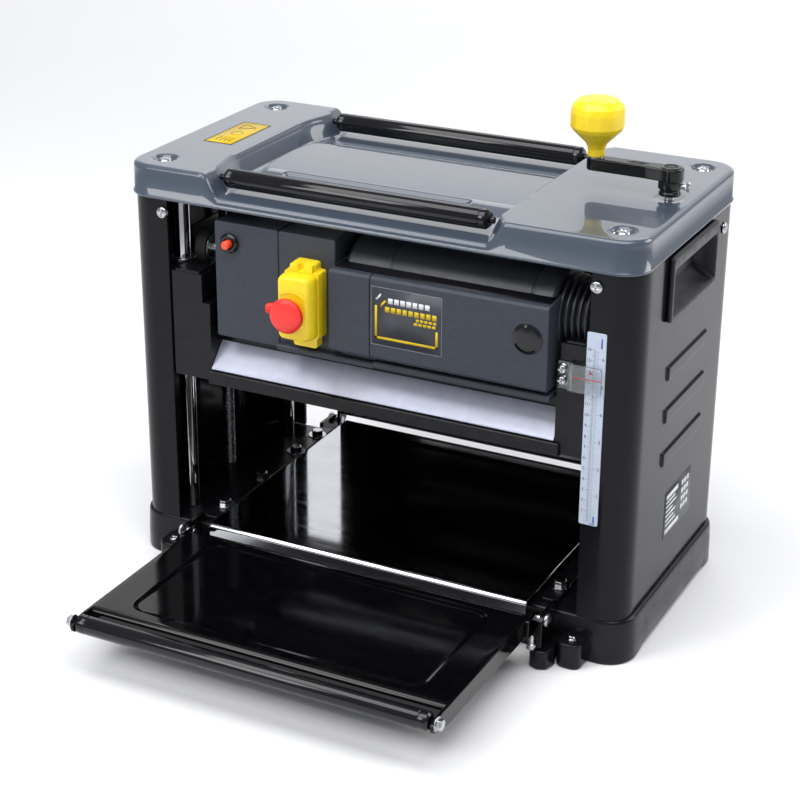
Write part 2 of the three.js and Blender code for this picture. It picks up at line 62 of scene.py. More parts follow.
class Finish:
    """One procedural material on a Principled shader, in the row frame's own coordinates."""

    def __init__(self, name, base, **fixed):
        self.material = bpy.data.materials.new(name)
        self.material.use_nodes = True
        self.tree = self.material.node_tree
        self.shader = self.tree.nodes["Principled BSDF"]
        self.base = base
        self.coords = self.node("ShaderNodeTexCoord").outputs["Object"]
        self.put("Base Color", (*base, 1))
        for key, value in fixed.items():
            self.put(key.replace("_", " ").title().replace("Ior", "IOR"), value)

    def put(self, socket, value):
        self.shader.inputs[socket].default_value = value

    def node(self, kind, **settings):
        made = self.tree.nodes.new(kind)
        for key, value in settings.items():
            setattr(made, key, value)
        return made

    def noise(self, scale, detail=3.0, stretch=(1, 1, 1)):
        place = self.node("ShaderNodeMapping")
        place.inputs["Scale"].default_value = stretch
        texture = self.node("ShaderNodeTexNoise")
        texture.inputs["Scale"].default_value = scale
        texture.inputs["Detail"].default_value = detail
        self.tree.links.new(self.coords, place.inputs["Vector"])
        self.tree.links.new(place.outputs["Vector"], texture.inputs["Vector"])
        return texture.outputs["Fac"]

    def ramp(self, source, stops):
        node = self.node("ShaderNodeValToRGB")
        elements = node.color_ramp.elements
        while len(elements) < len(stops):
            elements.new(0.5)
        for element, (at, colour) in zip(elements, stops):
            element.position = at
            element.color = (*colour, 1) if len(colour) == 3 else colour
        self.tree.links.new(source, node.inputs["Fac"])
        return node.outputs["Color"]

    def mottle(self, amount, scale, stretch=(1, 1, 1), detail=3.0):
        """Colour that drifts lighter and darker round the base."""
        dark = tuple(c * (1 - amount) for c in self.base)
        light = tuple(min(1, c * (1 + amount)) for c in self.base)
        shade = self.ramp(self.noise(scale, detail, stretch), [(0.3, dark), (0.7, light)])
        self.tree.links.new(shade, self.shader.inputs["Base Color"])
        return self

    def rough(self, low, high, scale, stretch=(1, 1, 1), detail=4.0):
        shade = self.ramp(self.noise(scale, detail, stretch), [(0.3, (low,) * 3), (0.7, (high,) * 3)])
        self.tree.links.new(shade, self.shader.inputs["Roughness"])
        return self

    def bump(self, scale, strength, distance, detail=2.0, stretch=(1, 1, 1)):
        """Adds a fine relief on top of any relief already there."""
        node = self.node("ShaderNodeBump")
        node.inputs["Strength"].default_value = strength
        node.inputs["Distance"].default_value = distance
        self.tree.links.new(self.noise(scale, detail, stretch), node.inputs["Height"])
        socket = self.shader.inputs["Normal"]
        if socket.links:
            self.tree.links.new(socket.links[0].from_socket, node.inputs["Normal"])
        self.tree.links.new(node.outputs["Normal"], socket)
        return self


COVER = Finish("cover_paint", (0.054, 0.071, 0.1), specular_ior_level=0.3, coat_weight=1.0,
               coat_roughness=0.02, coat_ior=1.5)
COVER.mottle(0.03, 700).rough(0.32, 0.36, 120).bump(60, 0.006, 0.0004)
GLOSS = Finish("gloss_black_paint", (0.002, 0.002, 0.0026), specular_ior_level=0.35)
GLOSS.mottle(0.3, 60).rough(0.05, 0.12, 30).bump(220, 0.02, 0.0003)
PANEL = Finish("panel_black_paint", (0.006, 0.006, 0.0085), specular_ior_level=0.17)
PANEL.mottle(0.12, 70).rough(0.12, 0.2, 40).bump(300, 0.02, 0.0003)
CAST = Finish("cast_black_paint", (0.005, 0.005, 0.0068), specular_ior_level=0.25)
CAST.mottle(0.35, 90).rough(0.16, 0.32, 60).bump(240, 0.16, 0.0007).bump(1400, 0.08, 0.0003)
HOUSING = Finish("charcoal_moulding", (0.037, 0.043, 0.058), specular_ior_level=0.35)
HOUSING.mottle(0.1, 300).rough(0.42, 0.55, 200).bump(1900, 0.3, 0.0003, 4.0)
MOTOR = Finish("motor_moulding", (0.028, 0.031, 0.038), specular_ior_level=0.5)
MOTOR.mottle(0.12, 200).rough(0.3, 0.42, 150).bump(1500, 0.25, 0.0003, 4.0)
BLACK = Finish("black_moulding", (0.006, 0.006, 0.0085), specular_ior_level=0.3)
BLACK.mottle(0.2, 150).rough(0.32, 0.45, 120).bump(1200, 0.15, 0.0003)
SHINY = Finish("shiny_black_moulding", (0.004, 0.004, 0.006), specular_ior_level=0.45)
SHINY.mottle(0.2, 120).rough(0.06, 0.13, 80).bump(500, 0.02, 0.0003)
CHROME = Finish("chrome_plate", (0.78, 0.79, 0.81), metallic=1.0)
CHROME.mottle(0.05, 60).rough(0.05, 0.12, 200, (1, 1, 0.05)).bump(300, 0.01, 0.0002)
BOLT = Finish("bolt_plating", (0.45, 0.46, 0.48), metallic=1.0)
BOLT.mottle(0.08, 90).rough(0.14, 0.24, 200).bump(900, 0.03, 0.0002)
STEEL = Finish("ground_steel", (0.5, 0.51, 0.53), metallic=1.0)
STEEL.mottle(0.12, 120).rough(0.2, 0.38, 260, (0.08, 1, 1)).bump(1500, 0.06, 0.0002, 2.0, (0.05, 1, 1))
BED = Finish("polished_bed_steel", (0.56, 0.57, 0.6), metallic=1.0)
BED.mottle(0.04, 40).rough(0.05, 0.11, 180, (0.04, 1, 1)).bump(900, 0.015, 0.0002, 2.0, (0.04, 1, 1))
# Light bluish grey of the sloped chip plate: partly its own grey metal, partly a painted reflection of the
# light above.
PLATE_AND_PAINTED_REFLECTION = Finish("satin_plate_and_painted_reflection", (0.43, 0.445, 0.54), metallic=0.45)
PLATE_AND_PAINTED_REFLECTION.mottle(0.05, 90).rough(0.36, 0.46, 240, (0.06, 1, 1)).bump(1300, 0.05, 0.0002)
RUBBER = Finish("black_rubber", (0.014, 0.014, 0.015), specular_ior_level=0.3)
RUBBER.mottle(0.25, 200).rough(0.6, 0.8, 200).bump(1500, 0.3, 0.0004, 4.0)
YELLOW = Finish("yellow_moulding", (1.0, 0.72, 0.014), specular_ior_level=0.5, subsurface_weight=0.05,
                subsurface_scale=0.004)
YELLOW.mottle(0.05, 90).rough(0.26, 0.38, 150).bump(900, 0.06, 0.0003)
RED = Finish("red_moulding", (0.9, 0.035, 0.025), subsurface_weight=0.05, subsurface_scale=0.004)
RED.mottle(0.05, 90).rough(0.3, 0.42, 150).bump(900, 0.05, 0.0003)
ORANGE = Finish("orange_moulding", (0.92, 0.09, 0.035))
ORANGE.mottle(0.05, 90).rough(0.3, 0.4, 150).bump(900, 0.05, 0.0003)
GREEN = Finish("green_moulding", (0.02, 0.3, 0.05))
GREEN.mottle(0.05, 90).rough(0.3, 0.4, 150).bump(900, 0.05, 0.0003)
SCALE_FACE = Finish("scale_enamel", (0.5, 0.57, 0.68))
SCALE_FACE.mottle(0.03, 120).rough(0.28, 0.4, 120).bump(1200, 0.03, 0.0002)
# Black print ink, also used for dark discs painted where holes and sockets would be in shade.
INK_AND_SHADE = Finish("black_ink_and_painted_shade", (0.01, 0.01, 0.012))
INK_AND_SHADE.mottle(0.2, 400).rough(0.4, 0.55, 300)
BLUE_INK = Finish("blue_ink", (0.015, 0.08, 0.42))
BLUE_INK.mottle(0.1, 400).rough(0.4, 0.55, 300)
RED_INK = Finish("red_ink", (0.85, 0.04, 0.1))
RED_INK.mottle(0.1, 400).rough(0.4, 0.55, 300)
PALE_INK = Finish("pale_ink", (0.75, 0.76, 0.78))
PALE_INK.mottle(0.05, 400).rough(0.4, 0.55, 300)
LABEL = Finish("yellow_label", (0.66, 0.46, 0.02), specular_ior_level=0.25)
LABEL.mottle(0.05, 300).rough(0.3, 0.42, 200).bump(1500, 0.04, 0.0002)
DECAL = Finish("dark_label", (0.045, 0.05, 0.062), specular_ior_level=0.4)
DECAL.mottle(0.06, 200).rough(0.3, 0.42, 200).bump(1500, 0.05, 0.0002)
CLEAR = Finish("clear_acrylic", (0.9, 0.94, 0.96), transmission_weight=0.95, ior=1.46)
CLEAR.rough(0.03, 0.08, 120).bump(500, 0.02, 0.0002)


# ---------------------------------------------------------------- mesh helpers, in millimetres

def spot(axis, u, v, w):
    """A point from its two in-plane values and its value along the axis."""
    a, b, c = AXES[axis]
    point = [0.0, 0.0, 0.0]
    point[a], point[b], point[c] = u, v, w
    return Vector(point)


def piece(name, bm, finish, body, slot, replaces=(), bevel=0.0, segments=3, angle=32, weld=True):
    """A finished object from a bmesh in millimetres, riding on its CAD body."""
    if weld:
        bmesh.ops.remove_doubles(bm, verts=bm.verts, dist=1e-4)
    bmesh.ops.recalc_face_normals(bm, faces=bm.faces)
    bmesh.ops.translate(bm, vec=(0, SETBACK, 0), verts=bm.verts)
    bmesh.ops.scale(bm, vec=(MM, MM, MM), verts=bm.verts)
    for face in bm.faces:
        face.smooth = True
    mesh = bpy.data.meshes.new(name)
    bm.to_mesh(mesh)
    bm.free()
    obj = bpy.data.objects.new(name, mesh)
    bpy.context.scene.collection.objects.link(obj)
    for one in finish if isinstance(finish, (list, tuple)) else [finish]:
        mesh.materials.append(one.material)
    if bevel:
        soften(obj, bevel, segments, angle)
    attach(obj, body)
    if replaces:
        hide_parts(*([replaces] if isinstance(replaces, str) else replaces))
    return obj


def soften(obj, width, segments=3, angle=32):
    """Rounded edges with clean shading on the flats."""
    bevel = obj.modifiers.new("edges", "BEVEL")
    bevel.width = width * MM
    bevel.segments = segments
    bevel.limit_method = "ANGLE"
    bevel.angle_limit = math.radians(angle)
    bevel.harden_normals = True
    bevel.miter_outer = "MITER_ARC"
    weighted = obj.modifiers.new("shading", "WEIGHTED_NORMAL")
    weighted.keep_sharp = True


def carry_over(node, finish, width=0.6, segments=2, angle=35):
    """Keeps a CAD node, with softened edges and a finish of its own."""
    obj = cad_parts[node]
    obj.data.materials.clear()
    obj.data.materials.append(finish.material)
    for polygon in obj.data.polygons:
        polygon.use_smooth = True
    join = obj.modifiers.new("weld", "WELD")
    join.merge_threshold = 1e-5
    flat = obj.modifiers.new("flats", "DECIMATE")
    flat.decimate_type = "DISSOLVE"
    flat.angle_limit = math.radians(1)
    soften(obj, width, segments, angle)
    return obj


def loft(loops, bm=None, cap=(True, True)):
    """A skin over loops of equal length, closed by a cap at each end."""
    bm = bm or bmesh.new()
    rings = [[bm.verts.new(p) for p in loop] for loop in loops]
    for low, high in zip(rings, rings[1:]):
        for i in range(len(low)):
            j = (i + 1) % len(low)
            bm.faces.new((low[i], low[j], high[j], high[i]))
    if cap[0]:
        bm.faces.new(rings[0][::-1])
    if cap[1]:
        bm.faces.new(rings[-1])
    return bm


def prism(outline, axis, start, end, bm=None):
    return loft([[spot(axis, u, v, w) for u, v in outline] for w in (start, end)], bm)


def arc_points(u, v, r, start, turn, steps):
    """Points along an arc in degrees, both ends included."""
    angles = [math.radians(start + turn * k / steps) for k in range(steps + 1)]
    return [(u + r * math.cos(a), v + r * math.sin(a)) for a in angles]


def rounded_rect(u0, u1, v0, v1, r, steps=5):
    """Outline points of a rectangle with round corners."""
    r = max(0.01, min(r, (u1 - u0) / 2 - 0.01, (v1 - v0) / 2 - 0.01))
    centres = [(u1 - r, v0 + r, -90), (u1 - r, v1 - r, 0), (u0 + r, v1 - r, 90), (u0 + r, v0 + r, 180)]
    points = []
    for cu, cv, start in centres:
        points += arc_points(cu, cv, r, start, 90, steps)
    return points


def fillet(points, radius, steps=4, closed=True):
    """Rounds the corners of a polyline; radius is one number or one per corner."""
    count = len(points)
    radii = radius if isinstance(radius, (list, tuple)) else [radius] * count
    made = []
    for i, point in enumerate(points):
        p = Vector(point)
        if radii[i] <= 0 or (not closed and i in (0, count - 1)):
            made.append(tuple(p))
            continue
        a = Vector(points[i - 1]) - p
        b = Vector(points[(i + 1) % count]) - p
        half = a.angle(b, math.pi) / 2
        reach = min(radii[i] / math.tan(half), a.length * 0.48, b.length * 0.48)
        start, end = p + a.normalized() * reach, p + b.normalized() * reach
        for k in range(steps + 1):
            t = k / steps
            made.append(tuple(start * (1 - t) ** 2 + p * 2 * t * (1 - t) + end * t * t))
    return made


def turned(profile, axis, at, sides=48, wave=None, bm=None):
    """A turned solid; profile holds (radius, place along the axis), and wave(angle, r, h) alters r."""
    bm = bm or bmesh.new()
    u0, v0 = at
    rings = []
    for r, h in profile:
        if r < 1e-6:
            rings.append([bm.verts.new(spot(axis, u0, v0, h))])
            continue
        ring = []
        for k in range(sides):
            a = TURN * k / sides
            q = wave(a, r, h) if wave else r
            ring.append(bm.verts.new(spot(axis, u0 + q * math.cos(a), v0 + q * math.sin(a), h)))
        rings.append(ring)
    for low, high in zip(rings, rings[1:]):
        for k in range(sides):
            n = (k + 1) % sides
            if len(low) == 1 and len(high) == 1:
                continue
            if len(low) == 1:
                bm.faces.new((low[0], high[n], high[k]))
            elif len(high) == 1:
                bm.faces.new((low[k], low[n], high[0]))
            else:
                bm.faces.new((low[k], low[n], high[n], high[k]))
    for ring, flip in ((rings[0], True), (rings[-1], False)):
        if len(ring) > 1:
            bm.faces.new(ring[::-1] if flip else ring)
    return bm


def rod(axis, at, radius, start, end, edge=0.6, sides=40, bm=None):
    """A round bar with rounded ends."""
    s = 1 if end > start else -1
    profile = [(0, start), (radius - edge, start), (radius - edge * 0.3, start + s * edge * 0.3),
               (radius, start + s * edge), (radius, end - s * edge),
               (radius - edge * 0.3, end - s * edge * 0.3), (radius - edge, end), (0, end)]
    return turned(profile, axis, at, sides, bm=bm)


def thick_sheet(us, vs, outer, inner, skip=lambda u, v: False):
    """A closed sheet with two faces over a grid, with holes where skip says so."""
    bm = bmesh.new()
    sides = [[[bm.verts.new(side(u, v)) for v in vs] for u in us] for side in (outer, inner)]
    nu, nv = len(us) - 1, len(vs) - 1

    def kept(i, j):
        inside = 0 <= i < nu and 0 <= j < nv
        return inside and not skip((us[i] + us[i + 1]) / 2, (vs[j] + vs[j + 1]) / 2)

    for i in range(nu):
        for j in range(nv):
            if not kept(i, j):
                continue
            corners = [(i, j), (i + 1, j), (i + 1, j + 1), (i, j + 1)]
            bm.faces.new([sides[0][a][b] for a, b in corners])
            bm.faces.new([sides[1][a][b] for a, b in reversed(corners)])
            beyond = [(i, j - 1), (i + 1, j), (i, j + 1), (i - 1, j)]
            for k, near in enumerate(beyond):
                if not kept(*near):
                    (a, b), (c, d) = corners[k], corners[(k + 1) % 4]
                    bm.faces.new([sides[0][c][d], sides[0][a][b], sides[1][a][b], sides[1][c][d]])
    for vert in [v for v in bm.verts if not v.link_faces]:
        bm.verts.remove(vert)
    return bm


def lines(*stops):
    """Grid lines from (value, step) stops: each step holds until the next stop."""
    values = []
    for (a, step), (b, _) in zip(stops, stops[1:]):
        count = max(1, math.ceil((b - a) / step - 1e-6))
        values += [a + (b - a) * k / count for k in range(count)]
    return values + [stops[-1][0]]


def mirrored_lines(*stops):
    """Grid lines on the positive side, and the same on the negative side."""
    half = lines(*stops)
    return [-v for v in reversed(half) if v > 1e-9] + half


def smooth_step(t):
    t = max(0.0, min(1.0, t))
    return t * t * (3 - 2 * t)


def rect_depth(u, v, u0, u1, v0, v1, r):
    """How far a point lies inside a rectangle with round corners; negative outside."""
    du = abs(u - (u0 + u1) / 2) - ((u1 - u0) / 2 - r)
    dv = abs(v - (v0 + v1) / 2) - ((v1 - v0) / 2 - r)
    return r - math.hypot(max(du, 0), max(dv, 0)) - min(max(du, dv), 0)


def span(node):
    """A CAD node's box in the machine's millimetres: x0, x1, y0, y1, z0, z1."""
    low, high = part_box(node)
    x, y, z = ([a / MM, b / MM] for a, b in zip(low, high))
    return x + [value - SETBACK for value in y] + z


def block(x0, x1, y0, y1, z0, z1, r=0.01, axis="z", bm=None):
    """A box with its four edges along the axis rounded."""
    limits = {"x": (y0, y1, z0, z1, x0, x1), "y": (x0, x1, z0, z1, y0, y1), "z": (x0, x1, y0, y1, z0, z1)}
    u0, u1, v0, v1, w0, w1 = limits[axis]
    outline = rounded_rect(u0, u1, v0, v1, r, 4) if r > 0.02 else [(u0, v0), (u1, v0), (u1, v1), (u0, v1)]
    return prism(outline, axis, w0, w1, bm)


# ---------------------------------------------------------------- camera, stage and lights

def look(obj, eye, target, roll=0.0):
    back = (Vector(eye) - Vector(target)).normalized()
    obj.rotation_mode = "QUATERNION"
    obj.location = Vector(eye) + Vector((0, SETBACK * MM, 0))
    turn = (-back).to_track_quat("-Z", "Y")
    obj.rotation_quaternion = turn @ Matrix.Rotation(math.radians(roll), 4, "Z").to_quaternion()


def make_camera():
    azimuth, elevation, distance = math.radians(26.67), math.radians(23.49), 1.8541
    target = Vector((-0.019, -0.0254, 0.1673))
    back = Vector((math.sin(azimuth) * math.cos(elevation), -math.cos(azimuth) * math.cos(elevation),
                   math.sin(elevation)))
    data = bpy.data.cameras.new("camera")
    data.lens = 87.45
    data.sensor_width = 36
    camera = bpy.data.objects.new("camera", data)
    bpy.context.scene.collection.objects.link(camera)
    look(camera, target + back * distance, target, 0.4)
    bpy.context.scene.camera = camera


def softbox(name, place, target, width, height, power):
    data = bpy.data.lights.new(name, "AREA")
    data.shape = "RECTANGLE"
    data.size, data.size_y, data.energy = width, height, power
    light = bpy.data.objects.new(name, data)
    bpy.context.scene.collection.objects.link(light)
    look(light, place, target)


def make_stage():
    bm = bmesh.new()
    bmesh.ops.create_grid(bm, x_segments=8, y_segments=8, size=9)
    mesh = bpy.data.meshes.new("floor")
    bm.to_mesh(mesh)
    bm.free()
    floor = bpy.data.objects.new("floor", mesh)
    bpy.context.scene.collection.objects.link(floor)
    floor.location.z = -0.0004
    paper = Finish("floor_paper", (0.86, 0.86, 0.87))
    paper.mottle(0.01, 2).rough(0.8, 0.9, 4)
    mesh.materials.append(paper.material)
    world = bpy.data.worlds.new("studio")
    world.use_nodes = True
    sky = world.node_tree.nodes["Background"]
    sky.inputs["Color"].default_value = (0.93, 0.95, 1.0, 1)
    sky.inputs["Strength"].default_value = 0.38
    bpy.context.scene.world = world
    bpy.context.scene.view_settings.view_transform = "Standard"
    softbox("overhead", (0.0, -0.75, 2.15), (0, 0, 0.2), 2.6, 1.5, 50)
    softbox("back_panel", (-0.9, 3.0, 1.3), (-0.1, 0, 0.3), 5.2, 1.7, 21)
    softbox("backdrop", (-0.9, 3.8, 3.4), (-0.9, 3.6, 0), 4.5, 2.0, 70)
    softbox("front_left", (-1.2, -2.1, 1.6), (0, -0.1, 0.25), 0.9, 1.0, 17)
    softbox("right_side", (1.7, 1.1, 1.1), (0.8, 0.5, 0), 1.0, 1.2, 18)


# ---------------------------------------------------------------- top cover

COVER_R = 26.6
RIM = 5.0


def cover_recess(x, y):
    """Height of the recessed middle: a raised field between two roller troughs."""
    ay = abs(y)
    brow = 80.5 if y > 0 else 89.0
    field_end = -161 + 0.0019 * y * y
    trough = 378.4 - 1.6 * smooth_step((ay - 112) / 14)
    crown = 386.4 - 0.00045 * y * y - 5.4 * smooth_step((ay - 44) / 33)
    inside = smooth_step((x - field_end) / 9) * smooth_step((brow - ay) / 2.6)
    height = trough + (crown - trough) * inside
    lip = 1.5 * max(0.0, 1 - abs(y - 79.5) / 1.6) * smooth_step((x - field_end - 4) / 8)
    groove = rect_depth(x, ay, -126, 64, 48.5, 57.5, 4.4)
    return height + lip - 3.0 * smooth_step(groove / 3.6)


def cover_height(x, y):
    """Height of the cover's top face before its outer rim is rounded off."""
    ay = abs(y)
    flare = smooth_step((ay - 60) / 50)
    left_top, left_foot = -176 + 7 * flare, -161.5 + 10.5 * flare
    end = smooth_step((ay - 110) / 20)
    right_top, right_foot = 118.2 + 12 * end, 108.6 + 3.5 * end
    left = smooth_step((x - left_top) / (left_foot - left_top))
    crisp = (x - right_foot) / (right_top - right_foot)
    right = 1 - max(0.0, min(1.0, crisp)) * (1 - end) - smooth_step(crisp) * end
    share = min(left, right) if x < 0 else right
    height = COVER_TOP + (cover_recess(x, y) - COVER_TOP) * share
    for sx in (-1, 1):
        reach = math.hypot(x - sx * SCREW_X, ay - SCREW_Y)
        height -= 4.2 * (1 - smooth_step((reach - 8.2) / 4.2))
    well = math.hypot(x - CRANK_X, y)
    return height - 1.0 * (1 - smooth_step((well - 11.5) / 1.5))


def corner_map(x, y, hx, hy, r):
    """Carries a rectangle onto the same rectangle with round corners."""
    a, b = (abs(x) - (hx - r)) / r, (abs(y) - (hy - r)) / r
    if a <= 0 or b <= 0:
        return x, y, max(a, b)
    u, v = a * math.sqrt(1 - b * b / 2), b * math.sqrt(1 - a * a / 2)
    return (math.copysign(hx - r + r * u, x), math.copysign(hy - r + r * v, y), math.hypot(u, v))


def make_cover():
    hx, hy = 251.7, 130.2
    z0, wall, core = 367.6, 3.4, COVER_R
    xs = lines((-hx, 0.35), (-hx + 1, 0.6), (-hx + 2.4, 1.2), (-hx + 5, 2.2), (-hx + core, 2.2),
               (-206, 6), (-178, 1.25), (-148, 4), (-128, 1.4), (-120, 8), (60, 1.4), (66, 6), (104, 1.1),
               (132, 5), (206, 2.0), (214, 1.5), (hx - 9, 2.0), (hx - 5, 1.2), (hx - 2.4, 0.6),
               (hx - 1, 0.35), (hx, 1))
    xs = sorted({round(v, 4) for v in xs} | {hx - core, core - hx})
    half = lines((0, 5), (42, 3), (47, 1.1), (59, 3), (76, 0.8), (83, 3.2), (88, 2.0), (hy - core, 2.0),
                 (hy - 5, 1.2), (hy - 2.4, 0.6), (hy - 1, 0.35), (hy, 1))
    ys = sorted({round(s * v, 4) for v in half for s in (-1, 1)} | {hy - core, core - hy})

    def outer(x, y):
        px, py, depth = corner_map(x, y, hx, hy, core)
        inset = core * (1 - depth)
        drop = RIM - math.sqrt(max(0.0, RIM * RIM - (RIM - inset) ** 2)) if inset < RIM else 0
        return Vector((px, py, cover_height(px, py) - drop))

    def inner(x, y):
        point = outer(x, y)
        shrink_x, shrink_y = (hx - wall) / hx, (hy - wall) / hy
        return Vector((point.x * shrink_x, point.y * shrink_y, max(z0 + 3, point.z - wall)))

    bm = bmesh.new()
    sheets = [[[bm.verts.new(side(x, y)) for y in ys] for x in xs] for side in (outer, inner)]
    nx, ny = len(xs) - 1, len(ys) - 1
    for i in range(nx):
        for j in range(ny):
            corners = [(i, j), (i + 1, j), (i + 1, j + 1), (i, j + 1)]
            bm.faces.new([sheets[0][a][b] for a, b in corners])
            bm.faces.new([sheets[1][a][b] for a, b in reversed(corners)])
    ring = ([(i, 0) for i in range(nx)] + [(nx, j) for j in range(ny)]
            + [(i, ny) for i in range(nx, 0, -1)] + [(0, j) for j in range(ny, 0, -1)])
    bead = [(0, 3.2), (0.8, 2.6), (1.1, 1.5), (0.8, 0.4), (0, 0)]
    rings = [[sheets[0][a][b] for a, b in ring]]
    for out, up in bead:
        rings.append([bm.verts.new(Vector((v.co.x * (1 + out / hx), v.co.y * (1 + out / hy), z0 + up)))
                      for v in rings[0]])
    rings.append([bm.verts.new(Vector((v.co.x, v.co.y, z0))) for v in
                  (sheets[1][a][b] for a, b in ring)])
    rings.append([sheets[1][a][b] for a, b in ring])
    for low, high in zip(rings, rings[1:]):
        for k in range(len(ring)):
            n = (k + 1) % len(ring)
            bm.faces.new((low[k], high[k], high[n], low[n]))
    piece("cover_shell", bm, COVER, "frame", "cover_grey", "top_cover", weld=False)


def pan_head(x, y, z, axis="z", facing=1, radius=5.6, height=3.6, bm=None):
    """A domed screw head with a cross recess."""
    bm = bm or bmesh.new()
    rings = 12
    sides = 48
    grid = []
    for i in range(rings + 1):
        r = radius * i / rings
        ring = []
        for k in range(sides if i else 1):
            a = TURN * k / sides
            u, v = r * math.cos(a), r * math.sin(a)
            rise = height * (1 - 0.42 * (r / radius) ** 2.2) - 0.9 * smooth_step((r / radius - 0.82) / 0.18)
            arm = min(abs(u), abs(v))
            if r < radius * 0.62 and arm < radius * 0.13:
                rise -= 1.5 * (1 - r / radius)
            ring.append(bm.verts.new(spot(axis, x + u, y + v, z + facing * rise)))
        grid.append(ring)
    base = [bm.verts.new(spot(axis, x + radius * math.cos(TURN * k / sides),
                              y + radius * math.sin(TURN * k / sides), z)) for k in range(sides)]
    for k in range(sides):
        n = (k + 1) % sides
        bm.faces.new((grid[0][0], grid[1][k], grid[1][n]))
        for low, high in zip(grid[1:], grid[2:] + [base]):
            bm.faces.new((low[k], high[k], high[n], low[n]))
    bm.faces.new(base[::-1])
    return bm


def make_cover_fittings():
    for place, sx, sy in CORNERS:
        bm = pan_head(sx * SCREW_X, sy * SCREW_Y, 393.9, radius=6.4, height=4.4)
        rod("z", (sx * SCREW_X, sy * SCREW_Y), 8.0, 393.4, 394.4, 0.4, bm=bm)
        piece("top_screw_" + place, bm, BOLT, "frame", "chrome", "cover_screw_" + place)
    for side, sx in (("left", -1), ("right", 1)):
        bm = pan_head(sx * 212.5, 354.3, -126.5, "y", -1, radius=5.8)
        piece("post_screw_" + side, bm, BOLT, "frame", "chrome", "column_screw_" + side)
        bm = pan_head(sx * 212.5, 354.3, 126.5, "y", 1, radius=5.8)
        piece("post_screw_rear_" + side, bm, BOLT, "frame", "chrome")
    label = block(-222.5, -192.5, -37, 37, COVER_TOP, COVER_TOP + 0.25, 1.5)
    piece("top_label", label, LABEL, "frame", "cover_grey")
    bm = bmesh.new()
    for x0, x1, y0, y1 in ((-222.5, -221.8, -37, 37), (-193.2, -192.5, -37, 37),
                           (-222.5, -192.5, -37, -36.3), (-222.5, -192.5, 36.3, 37)):
        block(x0, x1, y0, y1, *MARK_Z, bm=bm)
    frame_marks(bm)
    piece("top_label_marks", bm, INK_AND_SHADE, "frame", "cover_grey", weld=False)


def frame_marks(bm):
    """Plain generic marks on the top label: a triangle outline, a ring and bars."""
    tri = [(-215, 14), (-200, 22), (-215, 30)]
    for (ax, ay), (bx, by) in zip(tri, tri[1:] + tri[:1]):
        along = Vector((bx - ax, by - ay)).normalized()
        side = Vector((-along.y, along.x)) * 0.25
        quad = [(ax - side.x, ay - side.y), (bx - side.x, by - side.y), (bx + side.x, by + side.y),
                (ax + side.x, ay + side.y)]
        prism(quad, "z", *MARK_Z, bm)
    outer, inner = (arc_points(-207.5, -1, r, 0, 360, 28)[:-1] for r in (6, 5.5))
    low, high = MARK_Z
    loops = [[spot("z", u, v, w) for u, v in ring] for ring, w in
             ((outer, low), (outer, high), (inner, high), (inner, low), (outer, low))]
    loft(loops, bm, (False, False))
    for k in range(4):
        block(-215 + 4.5 * k, -214.2 + 4.5 * k, -29, -16, *MARK_Z, bm=bm)


# ---------------------------------------------------------------- frame: base, panels, handles, posts

def base_outline(inset, z, lift=0.0):
    """One loop round the base; the lower loops rise between the four feet."""
    loop = []
    for x, y in dense_rect(256.8 - inset, 126.9 - inset, 27 - inset * 0.6):
        free_x = smooth_step((204 - abs(x)) / 14)
        free_y = smooth_step((94 - abs(y)) / 12)
        arch = max(free_x if abs(y) > 105 else 0, free_y if abs(x) > 235 else 0)
        loop.append(Vector((x, y, z + lift * arch)))
    return loop


def dense_rect(hx, hy, r):
    """A round-cornered rectangle with points along its straight sides too."""
    points = []
    corners = rounded_rect(-hx, hx, -hy, hy, r, 10)
    for k, point in enumerate(corners):
        a, b = Vector(point), Vector(corners[(k + 1) % len(corners)])
        parts = 1
        if (b - a).length > 40:
            parts = 40 if abs(b.x - a.x) > abs(b.y - a.y) else 22
        points += [tuple(a + (b - a) * s / parts) for s in range(parts)]
    return points


def make_base():
    profile = [(8, 35.5, 0), (7, 34.5, 0), (7, 5, 3), (6.4, 1, 4), (5.8, 0.2, 4), (0.9, 0, 4),
               (0.2, 0.7, 4),
               (0, 2, 3.6), (0.2, 20, 0), (0.9, 37.2, 0), (1.1, 40, 0), (1.7, 41.8, 0), (2.9, 42.8, 0),
               (4.4, 43, 0)]
    loops = [base_outline(inset, z, lift) for inset, z, lift in profile]
    piece("base_pan", loft(loops), CAST, "frame", "cast_black", "base")
    for sx in (-1, 1):
        rail = block(sx * 178 - 8, sx * 178 + 8, -118, 118, 42.6, 48, 3)
        piece("base_rail_%s" % side_name(sx), rail, CAST, "frame", "cast_black", bevel=1.0)
        for sy in (-1, 1):
            make_base_corner(sx, sy)
    for sx in (-1, 1):
        bm = bmesh.new()
        for y in (-90, -20, 50, 96):
            turned(fillet([(0, 47.5), (9.5, 47.5), (9.5, 49), (0, 49)], 0.3, closed=False), "z",
                   (sx * 178, y), bm=bm)
            turned(fillet([(0, 48.9), (6.4, 48.9), (6.4, 53.6), (5.2, 54.2), (0, 54.2)], 0.4, closed=False),
                   "z", (sx * 178, y), 6, bm=bm)
        piece("deck_bolts_%s" % side_name(sx), bm, BOLT, "frame", "steel", bevel=0.35)


def side_name(sx):
    return "left" if sx < 0 else "right"


def end_name(sy):
    return "front" if sy < 0 else "rear"


